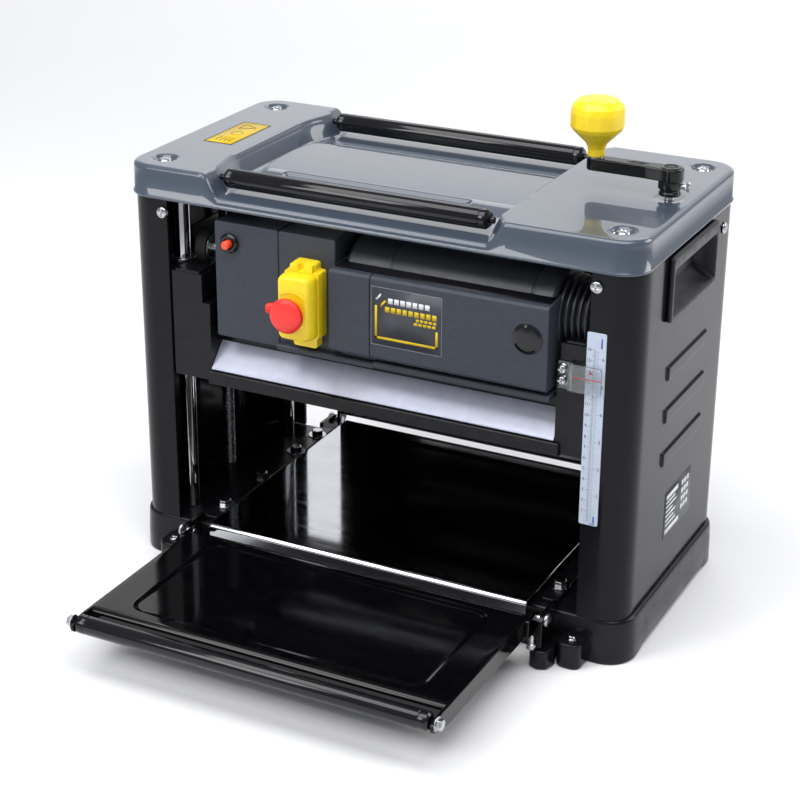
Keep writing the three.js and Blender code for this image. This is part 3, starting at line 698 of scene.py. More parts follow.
def make_base_corner(sx, sy):
    """A bolt lug, the hinge ear and its upright bracket at one corner of the base."""
    tag = "%s_%s" % (end_name(sy), side_name(sx))
    x, y = sx * 209, sy * 136
    root = sy * 122
    lug = fillet([(x - 15, root), (x - 11.5, sy * 130), (x - 11.5, y + sy * 11.5),
                  (x + 11.5, y + sy * 11.5),
                  (x + 11.5, sy * 130), (x + 15, root)], [0, 5, 11, 11, 5, 0], 6)
    piece("bolt_lug_" + tag, prism(lug, "z", 0, 24), CAST, "frame", "cast_black", bevel=1.6)
    screw = pan_head(x, y, 23.9, radius=4.4, height=2.4)
    piece("lug_screw_" + tag, screw, BOLT, "frame", "chrome")
    ex = sx * 186
    ear = [(ex - 9, root), (ex - 9, sy * 139), (ex - 11.5, sy * 146), (ex - 8, sy * 158.5),
           (ex, sy * 161.4), (ex + 8, sy * 158.5), (ex + 11.5, sy * 146), (ex + 9, sy * 139), (ex + 9, root)]
    piece("hinge_ear_" + tag, prism(fillet(ear, [0, 4, 4, 4, 3, 4, 4, 4, 0], 4), "z", 0, 18), CAST, "frame",
          "cast_black", bevel=1.4)
    plate = fillet([(sy * 119, 16), (sy * 119, 51), (sy * 147, 51), (sy * 156.8, 46), (sy * 156.8, 16)],
                   [0, 3, 8, 6, 0], 5)
    piece("hinge_bracket_" + tag, prism(plate, "x", ex - 2.2, ex + 2.2), GLOSS, "frame", "cast_black",
          bevel=0.6)
    web = fillet([(ex + sx * 8, root), (ex + sx * 8, sy * 132), (x - sx * 11, sy * 132),
                  (x - sx * 11, root)],
                 [0, 2, 2, 0], 3)
    piece("corner_web_" + tag, prism(web, "z", 1, 17), CAST, "frame", "cast_black", bevel=1.2)
    make_hinge_hardware(sx, sy, tag)


def make_hinge_hardware(sx, sy, tag):
    y, z = sy * HINGE_Y, HINGE_Z
    pin = rod("x", (y, z), 3.6, sx * 175.8, sx * 190.4, 0.5, 32)
    turned([(0, sx * 188.6), (5.6, sx * 188.6), (6, sx * 189.2), (6, sx * 191), (5.2, sx * 191.6),
            (0, sx * 191.7)], "x", (y, z), 32, bm=pin)
    piece("pivot_" + tag, pin, STEEL, "frame", "steel", "hinge_pin_" + tag)
    sxx, syy = sx * 179, sy * 157
    stop = turned([(0, 18.3), (4.6, 18.3), (4.8, 19), (4.8, 22.4), (4.4, 23), (2.9, 23.1)]
                  + thread_profile(2.9, 23.2, 30.6, 0.9) + [(2.2, 31.2), (0, 31.4)], "z", (sxx, syy), 24)
    piece("stop_bolt_" + tag, stop, STEEL, "frame", "steel", "stop_screw_" + tag)


def thread_profile(radius, start, end, pitch, depth=0.35):
    """Rings of a screw thread, close enough to a helix at this size."""
    points = []
    turns = max(1, round(abs(end - start) / pitch))
    for k in range(turns):
        at = start + (end - start) * k / turns
        points += [(radius, at), (radius - depth, at + (end - start) / turns / 2)]
    return points


PANEL_PATH_R = 25.6
PANEL_Y = 126.4             # front and rear faces of the side panels


def panel_path(s, inset):
    """Front inner edge, round the front corner, back along the side, round the rear corner."""
    hx, hy, r = SIDE_X - inset, PANEL_Y - inset, PANEL_PATH_R - inset
    front, arc = SIDE_X - PANEL_PATH_R - 208, 40.0
    side = 2 * (PANEL_Y - PANEL_PATH_R)
    if s <= front:
        return 208 + s, -hy
    if s <= front + arc:
        a = math.radians(-90 + 90 * (s - front) / arc)
        return SIDE_X - PANEL_PATH_R + r * math.cos(a), -PANEL_Y + PANEL_PATH_R + r * math.sin(a)
    if s <= front + arc + side:
        return hx, -PANEL_Y + PANEL_PATH_R + (s - front - arc)
    if s <= front + 2 * arc + side:
        a = math.radians(90 * (s - front - arc - side) / arc)
        return SIDE_X - PANEL_PATH_R + r * math.cos(a), PANEL_Y - PANEL_PATH_R + r * math.sin(a)
    return 208 + (2 * front + 2 * arc + side - s), hy


RIBS = (254.6, 213.8, 171.5)
RIB_HALF = 8.2


def panel_relief(y, z):
    """How far the side panel's embossed ribs stand out at a place on it."""
    rise = 0.0
    for middle in RIBS:
        depth = rect_depth(y, z, -49, 58, middle - RIB_HALF, middle + RIB_HALF, 4)
        rise = max(rise, 2.1 * smooth_step(depth / 2.6))
    return rise


def make_panel(sx):
    z0, z1, wall = 43.3, 367.3, 3.8
    front, arc, side = 18.0, 40.0, 201.6
    start = front + arc
    middle = start + side / 2
    window = (-57.0, 57.0, 309.0, 363.0)
    ss = [0, 0.8, 2.4, 9] + [front + arc * k / 12 for k in range(13)]
    flat = mirrored_lines((0, 6), (46, 0.9), (60.5, 5), (100, 5))
    flat = sorted({round(v, 3) for v in flat} | {window[0], window[1]})
    ss += [middle + v for v in flat if abs(v) < 100]
    end = 2 * front + 2 * arc + side
    ss += [start + side + arc * k / 12 for k in range(13)] + [start + side + arc + 9, end - 2.4, end]
    ss = sorted({round(v, 4) for v in ss})
    zs = {z0, z0 + 0.6, z0 + 2, z1 - 1, z1, window[2], window[3]}
    zs |= {60, 80, 100, 120, 140, 150, 290, 300, 325, 345}
    for rib in RIBS:
        for k in range(6):
            zs |= {rib - RIB_HALF - 0.4 + 0.75 * k, rib + RIB_HALF + 0.4 - 0.75 * k}
        zs.add(rib)
        zs.add(rib + 20)
    zs = sorted(round(v, 3) for v in zs)

    def skin(inset, lifted):
        def place(s, z):
            x, y = panel_path(s, inset)
            lift = panel_relief(y, z) if lifted and start <= s <= start + side else 0
            return Vector((sx * (x + lift), y, z))
        return place

    def in_window(s, z):
        y = s - middle
        return window[0] < y < window[1] and window[2] < z < window[3]

    bm = thick_sheet(ss, zs, skin(0, True), skin(wall, False), in_window)
    piece("side_shell_" + side_name(sx), bm, PANEL, "frame", "panel_black",
          "side_panel_" + side_name(sx), bevel=0.5, segments=2, angle=50)


def make_handle(sx):
    """The moulded carrying handle let into the side panel."""
    x = SIDE_X

    def ring(depth, du0, du1, dv0, dv1, r):
        return [spot("x", u, v, sx * (x + depth)) for u, v in
                rounded_rect(-61 + du0, 61 - du1, 306 + dv0, 366 - dv1, r, 6)]

    loops = [ring(-16.5, 9, 9, 9, 9, 4), ring(-16.5, 7, 7, 7, 7, 5), ring(-1, 5, 5, 5, 5, 5),
             ring(0.3, 5, 5, 5, 5, 5), ring(0.35, 1, 1, 1, 1, 5), ring(0.6, 0.2, 0.2, 0.2, 0.2, 5),
             ring(3.0, 0, 0, 0, 0, 5), ring(4.3, 0.7, 0.7, 0.7, 0.7, 5), ring(4.8, 2, 2, 2, 2, 4.5),
             ring(4.8, 4.6, 4.6, 4.6, 11.2, 4), ring(4.2, 5.6, 5.6, 5.6, 12.2, 4),
             ring(2.5, 6.2, 6.2, 6.2, 12.8, 4),
             ring(-5, 7.5, 7.5, 10, 13.2, 4), ring(-12.6, 9.5, 9.5, 16.5, 13.6, 5), ring(-14.2, 12,
                                                                                         12, 20, 14.5, 5)]
    piece("handle_shell_" + side_name(sx), loft(loops), BLACK, "frame", "black_plastic",
          "handle_" + side_name(sx))
    bm = bmesh.new()
    for y in (-54, 87):
        pan_head(y, 349, sx * (x + 0.1), "x", sx, 5.4, 3.2, bm)
    piece("handle_screws_" + side_name(sx), bm, BOLT, "frame", "chrome")


def make_posts():
    for place, _, _ in CORNERS:
        x0, x1, y0, y1, z0, z1 = span("guide_column_" + place)
        at = ((x0 + x1) / 2, (y0 + y1) / 2)
        piece("post_" + place, rod("z", at, 8, z0, z1, 0.8, 48), CHROME, "frame", "chrome",
              "guide_column_" + place)


# ---------------------------------------------------------------- tables

def make_bed():
    """The fixed steel table: one bent sheet with rounded front and rear edges."""
    hx, hy, top, lip, wall, r = 165.5, 140, 52, 12, 1.6, 4.0
    run = 2 * (hy - r)
    arc = r * math.pi / 2
    drop = lip - r
    length = run + 2 * arc + 2 * drop

    def section(s, inset):
        q = r - inset
        if s < drop:
            return -hy + inset, top - lip + s
        if s < drop + arc:
            a = (s - drop) / r
            return -hy + r - q * math.cos(a), top - r + q * math.sin(a)
        if s <= drop + arc + run:
            return -hy + r + (s - drop - arc), top - inset
        if s < drop + 2 * arc + run:
            a = (s - drop - arc - run) / r
            return hy - r + q * math.sin(a), top - r + q * math.cos(a)
        return hy - inset, top - r - (s - drop - 2 * arc - run)

    ss = [0, drop] + [drop + arc * k / 6 for k in range(1, 7)]
    ss += [drop + arc + run * k / 12 for k in range(1, 12)]
    ss += [drop + arc + run + arc * k / 6 for k in range(7)] + [length]
    xs = mirrored_lines((0, 25), (150, 5), (hx - 1.5, 0.5), (hx, 1))

    def skin(inset):
        def place(x, s):
            y, z = section(s, inset)
            fall = max(0.0, abs(x) - (hx - 1.5))
            return Vector((x, y, z - 0.35 * fall * fall if not inset else z))
        return place

    piece("bed_plate", thick_sheet(xs, sorted(set(ss)), skin(0), skin(wall)), BED, "frame", "table_steel",
          "main_table", bevel=0.25, segments=2, angle=60)


def stand_up(bm):
    """Turns the flat copy of an outfeed piece up about its hinge."""
    for vert in bm.verts:
        x, y, z = vert.co
        vert.co = (x, HINGE_Y - (z - HINGE_Z), HINGE_Z + (y - HINGE_Y))


def wing_piece(sy, name, bm, finish, body, slot, node=(), **edges):
    """A piece of one folding table, modelled lying flat; the outfeed one stands folded up."""
    if sy > 0:
        stand_up(bm)
    piece(name, bm, finish, body, slot, node, **edges)


def extension_sheet(sy, tag, body, node):
    """A folding table: pressed top with an embossed panel, bent front apron and side cheeks."""
    hx, top, bend, rear, r, wall = 176.6, 50.5, 325, 158.1, 5.0, 1.6
    arc = r * math.pi / 2
    run = bend - r - rear
    apron = 9.5

    def section(s, inset):
        q = r - inset
        if s <= run:
            return rear + s, top - inset
        if s < run + arc:
            a = (s - run) / r
            return bend - r + q * math.sin(a), top - r + q * math.cos(a)
        return bend - inset, top - r - (s - run - arc)

    xs = mirrored_lines((0, 16), (128, 1.2), (148, 5), (hx - 3, 0.6), (hx - 0.3, 1))
    edge0, edge1 = 168 - rear, 310 - rear
    ss = lines((0, 0.7), (1.4, 4), (edge0 - 2, 1.2), (edge0 + 18, 7), (edge1 - 18, 1.2), (edge1 + 2, 3),
               (run, 1.1), (run + arc, 4), (run + arc + apron, 1))

    def skin(inset):
        def place(x, s):
            y, z = section(s, inset)
            if s <= run:
                depth = rect_depth(x, s, -146, 146, edge0, edge1, 16)
                z -= 1.3 * smooth_step(depth / 4.5)
                z -= 0.9 * smooth_step((1.4 - s) / 1.4) * (inset == 0)
            if not inset:
                fall = max(0.0, abs(x) - (hx - 3.3))
                z -= 0.12 * fall * fall
            return Vector((x, sy * y, z))
        return place

    wing_piece(sy, tag + "_top", thick_sheet(xs, ss, skin(0), skin(wall)), GLOSS, body, "black_gloss", node)
    for sx in (-1, 1):
        cheek = fillet([(sy * rear, 32.2), (sy * rear, 50.2), (sy * 330, 50.2), (sy * 343, 49.6),
                        (sy * 352.6, 46.8), (sy * 351.4, 39.5), (sy * 336, 35.0), (sy * 318, 32.2)],
                       [4, 1, 3, 5, 5, 6, 8, 5], 5)
        bm = prism(cheek, "x", sx * (hx - 3.4), sx * hx)
        wing_piece(sy, "%s_cheek_%s" % (tag, side_name(sx)), bm, GLOSS, body, "black_gloss", bevel=1.0)
        lug = fillet([(sy * 142.6, 40), (sy * 142.6, 50), (sy * 168, 50), (sy * 168, 32.2),
                      (sy * 152, 32.2)],
                     [3, 4, 3, 3, 4], 5)
        bm = prism(lug, "x", sx * (hx + 0.1), sx * (hx + 3.6))
        wing_piece(sy, "%s_lug_%s" % (tag, side_name(sx)), bm, GLOSS, body, "black_gloss", bevel=0.6)


def end_roller(sy, name, body, node):
    y, z = sy * 345, 46.5
    profile = fillet([(0, -171.2), (6.5, -171.2), (8.4, -169.5), (8.4, -163), (7.9, -162.6), (7.9, -161.8),
                      (8.5, -161.4), (8.5, 161.4), (7.9, 161.8), (7.9, 162.6), (8.4, 163), (8.4, 169.5),
                      (6.5, 171.2), (0, 171.2)], 0.25, 2, closed=False)
    bm = turned(profile, "x", (y, z), 48)
    wing_piece(sy, name + "_barrel", bm, SHINY, body, "black_gloss", node)
    bm = bmesh.new()
    for sx in (-1, 1):
        hexagon = [(0, sx * 177.2), (5.2, sx * 177.2), (5.2, sx * 181), (4.6, sx * 182.3), (0, sx * 182.5)]
        turned(hexagon, "x", (y, z), 6, bm=bm)
        washer = [(0, sx * 176.7), (6.4, sx * 176.7), (6.4, sx * 177.5), (0, sx * 177.5)]
        turned(washer, "x", (y, z), 28, bm=bm)
    wing_piece(sy, name + "_bolts", bm, STEEL, body, "steel", bevel=0.3)


def return_roller(sy, name, node):
    y, z = sy * 106.4, 390.4
    profile = fillet([(0, -155.2), (6.2, -155.2), (8.9, -152.2), (8.9, -147), (8.5, -146.8), (8.5, -146.2),
                      (9, -146), (9, 97.4), (8.5, 97.6), (8.5, 98.2), (8.9, 98.4), (8.9, 103.2), (6.2, 106.3),
                      (0, 106.3)], 0.3, 2, closed=False)
    bm = turned(profile, "x", (y, z), 56)
    rod("x", (y, z), 3, -161, -154, 0.4, 24, bm)
    rod("x", (y, z), 3, 105, 110.5, 0.4, 24, bm)
    piece(name + "_barrel", bm, SHINY, name, "black_gloss", node)


def make_tables():
    make_bed()
    for sy, word in ((-1, "infeed"), (1, "outfeed")):
        extension_sheet(sy, word + "_wing", word + "_table", word + "_table")
        end_roller(sy, "wing_roller_" + word, "end_roller_" + word, "end_roller_" + word)
    return_roller(-1, "return_roller_front", "return_roller_front")
    return_roller(1, "return_roller_rear", "return_roller_rear")


# ---------------------------------------------------------------- depth scale

def number_mesh(bm, text, x, z, y, size):
    """A plain numeral standing on a face that looks along -Y."""
    curve = bpy.data.curves.new("numeral", "FONT")
    curve.body = text
    curve.size = size * MM
    curve.align_x = "CENTER"
    curve.align_y = "CENTER"
    curve.extrude = 0.04 * MM
    curve.resolution_u = 2
    holder = bpy.data.objects.new("numeral", curve)
    mesh = bpy.data.meshes.new_from_object(holder)
    mesh.transform(Matrix.Translation((x * MM, y * MM, z * MM)) @ Matrix.Rotation(math.pi / 2, 4, "X"))
    mesh.transform(Matrix.Scale(1 / MM, 4))
    bm.from_mesh(mesh)
    bpy.data.objects.remove(holder)
    bpy.data.curves.remove(curve)
    bpy.data.meshes.remove(mesh)


def make_scale():
    x0, x1, y0, y1, z0, z1 = span("depth_scale")
    zero = 139.0
    strip = prism(rounded_rect(x0, x1, z0, z1, 1.6, 5), "y", y0 + 0.1, y1)
    piece("scale_strip", strip, SCALE_FACE, "frame", "scale_white", "depth_scale", bevel=0.2, segments=2)
    face = y0 + 0.1
    ink, blue = bmesh.new(), bmesh.new()

    def tick(left, right, z, width, target=ink):
        block(left, right, face - 0.05, face + 0.02, z - width / 2, z + width / 2, bm=target)

    middle = (x0 + x1) / 2 + 0.4
    for k in range(0, 161):
        length = 4.4 if k % 10 == 0 else 3.0 if k % 5 == 0 else 2.0
        tick(middle - 0.5 - length, middle - 0.5, zero + k, 0.22)
        if k % 10 == 0 and k:
            number_mesh(ink, str(k // 10), x0 + 2.3, zero + k, face - 0.02, 4.2)
    step = 25.4 / 16
    for k in range(0, 101):
        length = 4.2 if k % 16 == 0 else 3.2 if k % 8 == 0 else 2.4 if k % 4 == 0 else 1.7
        tick(middle + 0.3, middle + 0.3 + length, zero + k * step, 0.2)
        if k % 16 == 0 and k:
            number_mesh(ink, str(k // 16), x1 - 2.1, zero + k * step, face - 0.02, 4.6)
    for z, height in ((305.5, 9.0), (141.5, 6.5)):
        block(x1 - 4.6, x1 - 3.3, face - 0.05, face + 0.02, z - height / 2, z + height / 2, bm=blue)
    block(x1 - 7.6, x1 - 2.2, face - 0.05, face + 0.02, 136.9, 137.7, bm=blue)
    piece("scale_ticks", ink, INK_AND_SHADE, "frame", "scale_white", weld=False)
    piece("scale_unit_marks", blue, BLUE_INK, "frame", "scale_white", weld=False)


# ---------------------------------------------------------------- carriage

def make_head():
    carry_over("head_casting", CAST, 1.1, 3)
    # The sheet's light grey is partly its own metal and partly a painted reflection of the light above.
    plate = [(-105.6, 230.6), (-126.1, 208.4), (-125.6, 207.3), (-124.7, 207.4), (-104.9, 229.3),
             (-104.6, 230.2)]
    bm = prism(fillet(plate, 0.3, 2), "x", -165.6, 179.4)
    piece("deflector_sheet", bm, PLATE_AND_PAINTED_REFLECTION, "carriage", "deflector_grey", "chip_plate", bevel=0.2, segments=2)
    edge = fillet([(-128.6, 194), (-128.6, 205.6), (-127.4, 206.6), (-124, 206.6), (-124, 194)], 0.8, 3)
    piece("beam_lip", prism(edge, "x", -167.6, 184.6), CAST, "carriage", "head_black", bevel=0.4)
    for sx in (-1, 1):
        make_head_block(sx)
    carry_over("drive_belt", RUBBER, 0.3, 2)


def make_head_block(sx):
    """Machined ledges on the outer face of one bearing block, and a steel bush round each of its two posts.
    """
    inner, outer = (184, 205) if sx > 0 else (174, 202)
    for z, reach in ((299.2, 3), (272.2, 0)):
        bm = block(sx * (inner + reach), sx * outer, -124.6, -70, z, z + 2.4, 1.2)
        piece("block_ledge_%s_%d" % (side_name(sx), z), bm, CAST, "carriage", "head_black", bevel=0.7)
    for sy in (-1, 1):
        bm = turned(fillet([(8.9, 299.3), (12.6, 299.3), (12.6, 302.5), (8.9, 302.5)], 0.5, 3), "z",
                    (sx * 214, sy * 94), 40)
        close_tube(bm, 40)
        piece("post_bushing_%s_%s" % (side_name(sx), end_name(sy)), bm, STEEL, "carriage", "steel")


def close_tube(bm, sides):
    """Joins the first and last ring of a turned open profile, so that a bush is a closed ring."""
    caps = [f for f in bm.faces if len(f.verts) == sides]
    bmesh.ops.delete(bm, geom=caps, context="FACES_ONLY")
    loose = [e for e in bm.edges if len(e.link_faces) == 1]
    bmesh.ops.bridge_loops(bm, edges=loose)


def make_covers():
    x0, x1, y0, y1, z0, z1 = span("gear_cover")
    shell = prism(rounded_rect(x0, x1, z0, z1, 2.2, 4), "y", y0, y1)
    piece("gear_housing", shell, HOUSING, "carriage", "charcoal_plastic", "gear_cover", bevel=1.3)
    x0, x1, y0, y1, z0, z1 = span("switch_housing")
    outline = [(x0, z0), (x1, z0), (x1, 331.5), (x1, 337.5), (x1, z1), (x0, z1)]
    bm = prism(fillet(outline, [2, 2, 0, 0, 2.5, 2], 4), "y", y0, y1)
    piece("control_housing", bm, HOUSING, "carriage", "charcoal_plastic", "switch_housing", bevel=1.3)
    skirt = fillet([(-124, 243.6), (-124, 249), (-130.6, 249), (-132, 247.6), (-132, 243.6)], 0.8, 3)
    piece("housing_skirt", prism(skirt, "x", -90.8, 7), HOUSING, "carriage", "charcoal_plastic", bevel=0.5)
    make_motor_cover()
    ring = turned(fillet([(5.2, -125.2), (9, -125.2), (9.2, -127.4), (7.6, -129), (5.2, -129)], 0.5,
                         3), "y",
                  (-142, 335.5), 40)
    close_tube(ring, 40)
    piece("reset_ring", ring, SHINY, "carriage", "black_plastic", "reset_bezel")
    button = turned(fillet([(0, -119), (4.0, -119), (4.0, -134.2), (3.2, -135), (0, -135.2)], 0.5, 3,
                           closed=False), "y", (-142, 335.5), 36)
    piece("reset_cap", button, ORANGE, "reset_button", "orange_plastic", "reset_button")


def make_motor_cover():
    x0, x1, y0, y1, z0, z1 = span("motor_cover")
    seam = 8.0
    for name, a, b in (("left", x0, seam - 0.25), ("right", seam + 0.25, x1)):
        corners = [(y1, z0), (y0 + 3.2, z0), (y0, z0 + 3), (y0, z1 - 4.4), (y0 + 2.8, z1 - 2.4), (y1, z1)]
        section = fillet(corners, [0, 2, 2, 2, 2, 0], 4)
        bm = prism(section, "x", a, b)
        node = ("motor_cover",) if name == "right" else ()
        piece("motor_shroud_" + name, bm, HOUSING, "carriage", "charcoal_plastic", node, bevel=0.9)
    back = fillet([(y1 + 0.5, z0 + 1), (y0 + 2, z0 + 1), (y0 + 1.2, z0 + 3), (y0 + 1.2, z1 - 7),
                   (y0 + 9.5, z1 - 1), (y1 + 0.5, z1 - 1)], 1.5, 3)
    piece("motor_shroud_core", prism(back, "x", x0 + 2, x1 - 2), BLACK, "carriage", "charcoal_plastic")
    ledge = fillet([(-100, 245.6), (-100, 251.6), (-132.8, 251.6), (-134, 250.4), (-134, 246.6),
                    (-133, 245.6)],
                   [0, 0, 1, 1, 1, 0], 3)
    piece("motor_ledge", prism(ledge, "x", 8, 177), HOUSING, "carriage", "charcoal_plastic", bevel=0.5)
    make_badge(y0)
    cap = turned(fillet([(0, y0 - 2.5), (6, y0 - 2.35), (10.5, y0 - 1.7), (12.4, y0 - 0.9),
                         (13.9, y0 - 0.5),
                         (13.9, y0 + 1), (0, y0 + 1)], [0, 4, 2, 0.5, 0.5, 0, 0], 4, closed=False), "y",
                 (158, 303), 56)
    piece("brush_cap", cap, SHINY, "carriage", "black_gloss", "brush_plug")


def make_badge(face):
    """A plain dark badge with a yellow corner frame and generic bars in place of words."""
    x0, x1, z0, z1 = 9.8, 78.3, 271.5, 325.5
    plate = prism(rounded_rect(x0, x1, z0, z1, 0.8, 3), "y", face - 0.25, face)
    piece("badge_plate", plate, DECAL, "carriage", "charcoal_plastic")
    yellow, pale = bmesh.new(), bmesh.new()

    def bar(a, b, c, d, target):
        block(a, b, face - 0.42, face - 0.2, c, d, bm=target)

    bar(13.6, 15.8, 277.5, 308.5, yellow)
    bar(13.6, 74.6, 277.5, 279.7, yellow)
    bar(72.4, 74.6, 277.5, 293.5, yellow)
    rows = ((23.5, 74.6, 303.3, 308.4, 9, yellow), (53.5, 74.0, 299.4, 301.9, 5, yellow),
            (51.5, 73.4, 295.8, 298.3, 5, yellow), (26.5, 68.0, 311.6, 316.6, 7, pale))
    for a, b, c, d, count, target in rows:
        step = (b - a) / count
        for k in range(count):
            bar(a + k * step, a + (k + 0.76) * step, c, d, target)
    for side, target in ((-1, pale), (1, yellow)):
        diamond = [(19.5, 320.4 if side < 0 else 307.4), (13.9 if side < 0 else 25.1, 313.9),
                   (16.2 if side < 0 else 22.8, 313.9), (19.5, 317.4 if side < 0 else 310.4)]
        prism(diamond, "y", face - 0.42, face - 0.2, target)
    outer = rounded_rect(x0, x1, z0, z1, 0.8, 3)
    inner = rounded_rect(x0 + 0.25, x1 - 0.25, z0 + 0.25, z1 - 0.25, 0.6, 3)
    low, high = face - 0.24, face - 0.34
    edge = [[spot("y", u, v, w) for u, v in ring] for ring, w in
            ((outer, low), (outer, high), (inner, high), (inner, low), (outer, low))]
    piece("badge_edge", loft(edge, cap=(False, False)), PLATE_AND_PAINTED_REFLECTION, "carriage", "charcoal_plastic")
    piece("badge_yellow", yellow, LABEL, "carriage", "yellow_plastic", weld=False)
    piece("badge_pale", pale, PALE_INK, "carriage", "yellow_plastic", weld=False)


def make_motor():
    y, z = -86, 314
    profile = fillet([(0, -28.6), (34, -28.6), (37.7, -24), (37.7, 16), (37.1, 16.5), (37.1, 18),
                      (37.7, 18.5),
                      (37.7, 150), (36.9, 150.6), (36.9, 152.4), (37.7, 153), (37.7, 170), (35.5, 172.8),
                      (0, 172.8)], 0.6, 3, closed=False)
    bm = turned(profile, "x", (y, z), 72)
    block(-20, 164, y - 9, y + 9, 243.4, 290, 2, bm=bm)
    piece("motor_body", bm, MOTOR, "carriage", "motor_black", "motor", weld=False)
    bm = turned(fillet([(0, 173.2), (30, 173.2), (30, 176), (25.5, 178), (25.5, 199), (21, 203.2),
                        (0, 203.2)],
                       0.8, 3, closed=False), "x", (y, z), 56)
    for k in range(5):
        x = 176.2 + 5.6 * k
        r = 34.2 - 0.9 * k
        fin = fillet([(24, x), (r - 1, x), (r, x + 0.6), (r, x + 1.7), (r - 1, x + 2.3),
                      (24, x + 2.3)], 0.4, 2,
                     closed=False)
        turned([(0, x), *fin, (0, x + 2.3)], "x", (y, z), 56, bm=bm)
    piece("bell_fins", bm, MOTOR, "carriage", "motor_black", "motor_end_bell", weld=False)
    bm = bmesh.new()
    for k in range(16):
        a = TURN * k / 16
        block_at = [(13, -1.1), (23.4, -1.1), (23.4, 1.1), (13, 1.1)]
        quad = [(y + u * math.cos(a) - v * math.sin(a), z + u * math.sin(a) + v * math.cos(a))
                for u, v in block_at]
        prism(quad, "x", 202.9, 204.4, bm)
    piece("bell_vanes", bm, MOTOR, "carriage", "motor_black", weld=False)


def make_hood():
    carry_over("chip_hood", HOUSING, 1.6, 3)
    bm = bmesh.new()
    for x in (-128, 27, 60, 93, 126):
        outline = fillet([(121.6, 250), (121.6, 340), (124.2, 338), (124.2, 252)], 0.8, 3)
        prism(outline, "x", x - 1.2, x + 1.2, bm)
    piece("hood_ribs", bm, HOUSING, "carriage", "charcoal_plastic", weld=False)
    bm = bmesh.new()
    for x, z in ((-130, 251), (158, 251), (158, 338), (18, 338)):
        pan_head(x, z, 121.8, "y", 1, 4.2, 2.4, bm)
    piece("hood_screws", bm, BOLT, "carriage", "chrome")


def make_cursor():
    face = -125.3
    outline = fillet([(193.6, 258.6), (222, 258.6), (222, 283.4), (193.6, 283.4)], 2.5, 4)
    bm = prism(outline, "y", -130.6, -129.2)
    block(191.8, 194.4, -130.6, face, 258.6, 283.4, 0.6, bm=bm)
    block(181.4, 194.4, face - 1.6, face, 258.6, 283.4, 0.6, bm=bm)
    piece("cursor_lens", bm, CLEAR, "carriage", "clear", "scale_cursor", bevel=0.25, segments=2)
    hair = block(196, 221.4, -129.3, -129.05, 271.4, 272.4)
    piece("cursor_hairline", hair, RED_INK, "carriage", "clear")
    mark = [(209, 276.5), (212, 279.5), (215, 276.5), (212, 277.2)]
    piece("cursor_mark", prism(mark, "y", -129.3, -129.05), RED_INK, "carriage", "clear")
    bm = bmesh.new()
    for z in (276.6, 266.2):
        washer = [(0, face - 1.5), (5.2, face - 1.5), (5.2, face - 2.3), (0, face - 2.3)]
        turned(washer, "y", (185.6, z), 28, bm=bm)
        pan_head(185.6, z, face - 2.2, "y", -1, 4.3, 3.4, bm)
    piece("cursor_screws", bm, BOLT, "carriage", "chrome", weld=False)


def make_switch():
    x0, x1, mid, back = -76.5, -42.5, -140.8, -125.3
    base = [(x0, 264.6), (x0 + 5, 264.6), (x0 + 5, 253.6), (x1 - 5, 253.6), (x1 - 5, 264.6), (x1, 264.6),
            (x1, 327), (x1 - 5.4, 327), (x1 - 5.4, 334), (x0 + 5.4, 334), (x0 + 5.4, 327), (x0, 327)]
    radii = [4, 1.5, 3, 3, 1.5, 4, 4, 1.5, 3, 3, 1.5, 4]
    wells = [(-59.5, 280, 7.5), (-59.5, 306, 7.5)]
    bm = prism(fillet(base, radii, 4), "y", mid + 6, back)
    tray = prism(fillet([(x0, 264.6), (x1, 264.6), (x1, 327), (x0, 327)], 4, 4), "y", mid, mid + 6.4, bm)
    for x, z, r in wells:
        ring = fillet([(r, mid + 0.4), (r + 1.6, mid + 0.4), (r + 1.6, mid - 0.1), (r, mid - 0.1)], 0.1, 1)
        close_me = turned(ring, "y", (x, z), 32)
        close_tube(close_me, 32)
        append(tray, close_me)
    for x in (-66.8, -52.4):
        knuckle = fillet([(x - 3.9, 326), (x + 3.9, 326), (x + 3.9, 333.6), (x - 3.9, 333.6)], 2.2, 4)
        prism(knuckle, "y", mid - 0.2, mid + 7, tray)
    piece("switch_case", tray, YELLOW, "carriage", "yellow_plastic", "switch_body", bevel=0.8, weld=False)
    # A black disc painted where the small hole's shade would be, in place of a real hole.
    hole_shade_disc = turned([(0, back - 9.3), (1.6, back - 9.3), (1.6, back - 9.45), (0, back - 9.45)], "y",
                  (-50.5, 257.6), 20)
    piece("switch_hole_painted_shade", hole_shade_disc, INK_AND_SHADE, "carriage", "yellow_plastic")
    make_switch_lid()
    make_buttons(mid)


def append(target, other):
    mesh = bpy.data.meshes.new("part")
    other.to_mesh(mesh)
    other.free()
    target.from_mesh(mesh)
    bpy.data.meshes.remove(mesh)


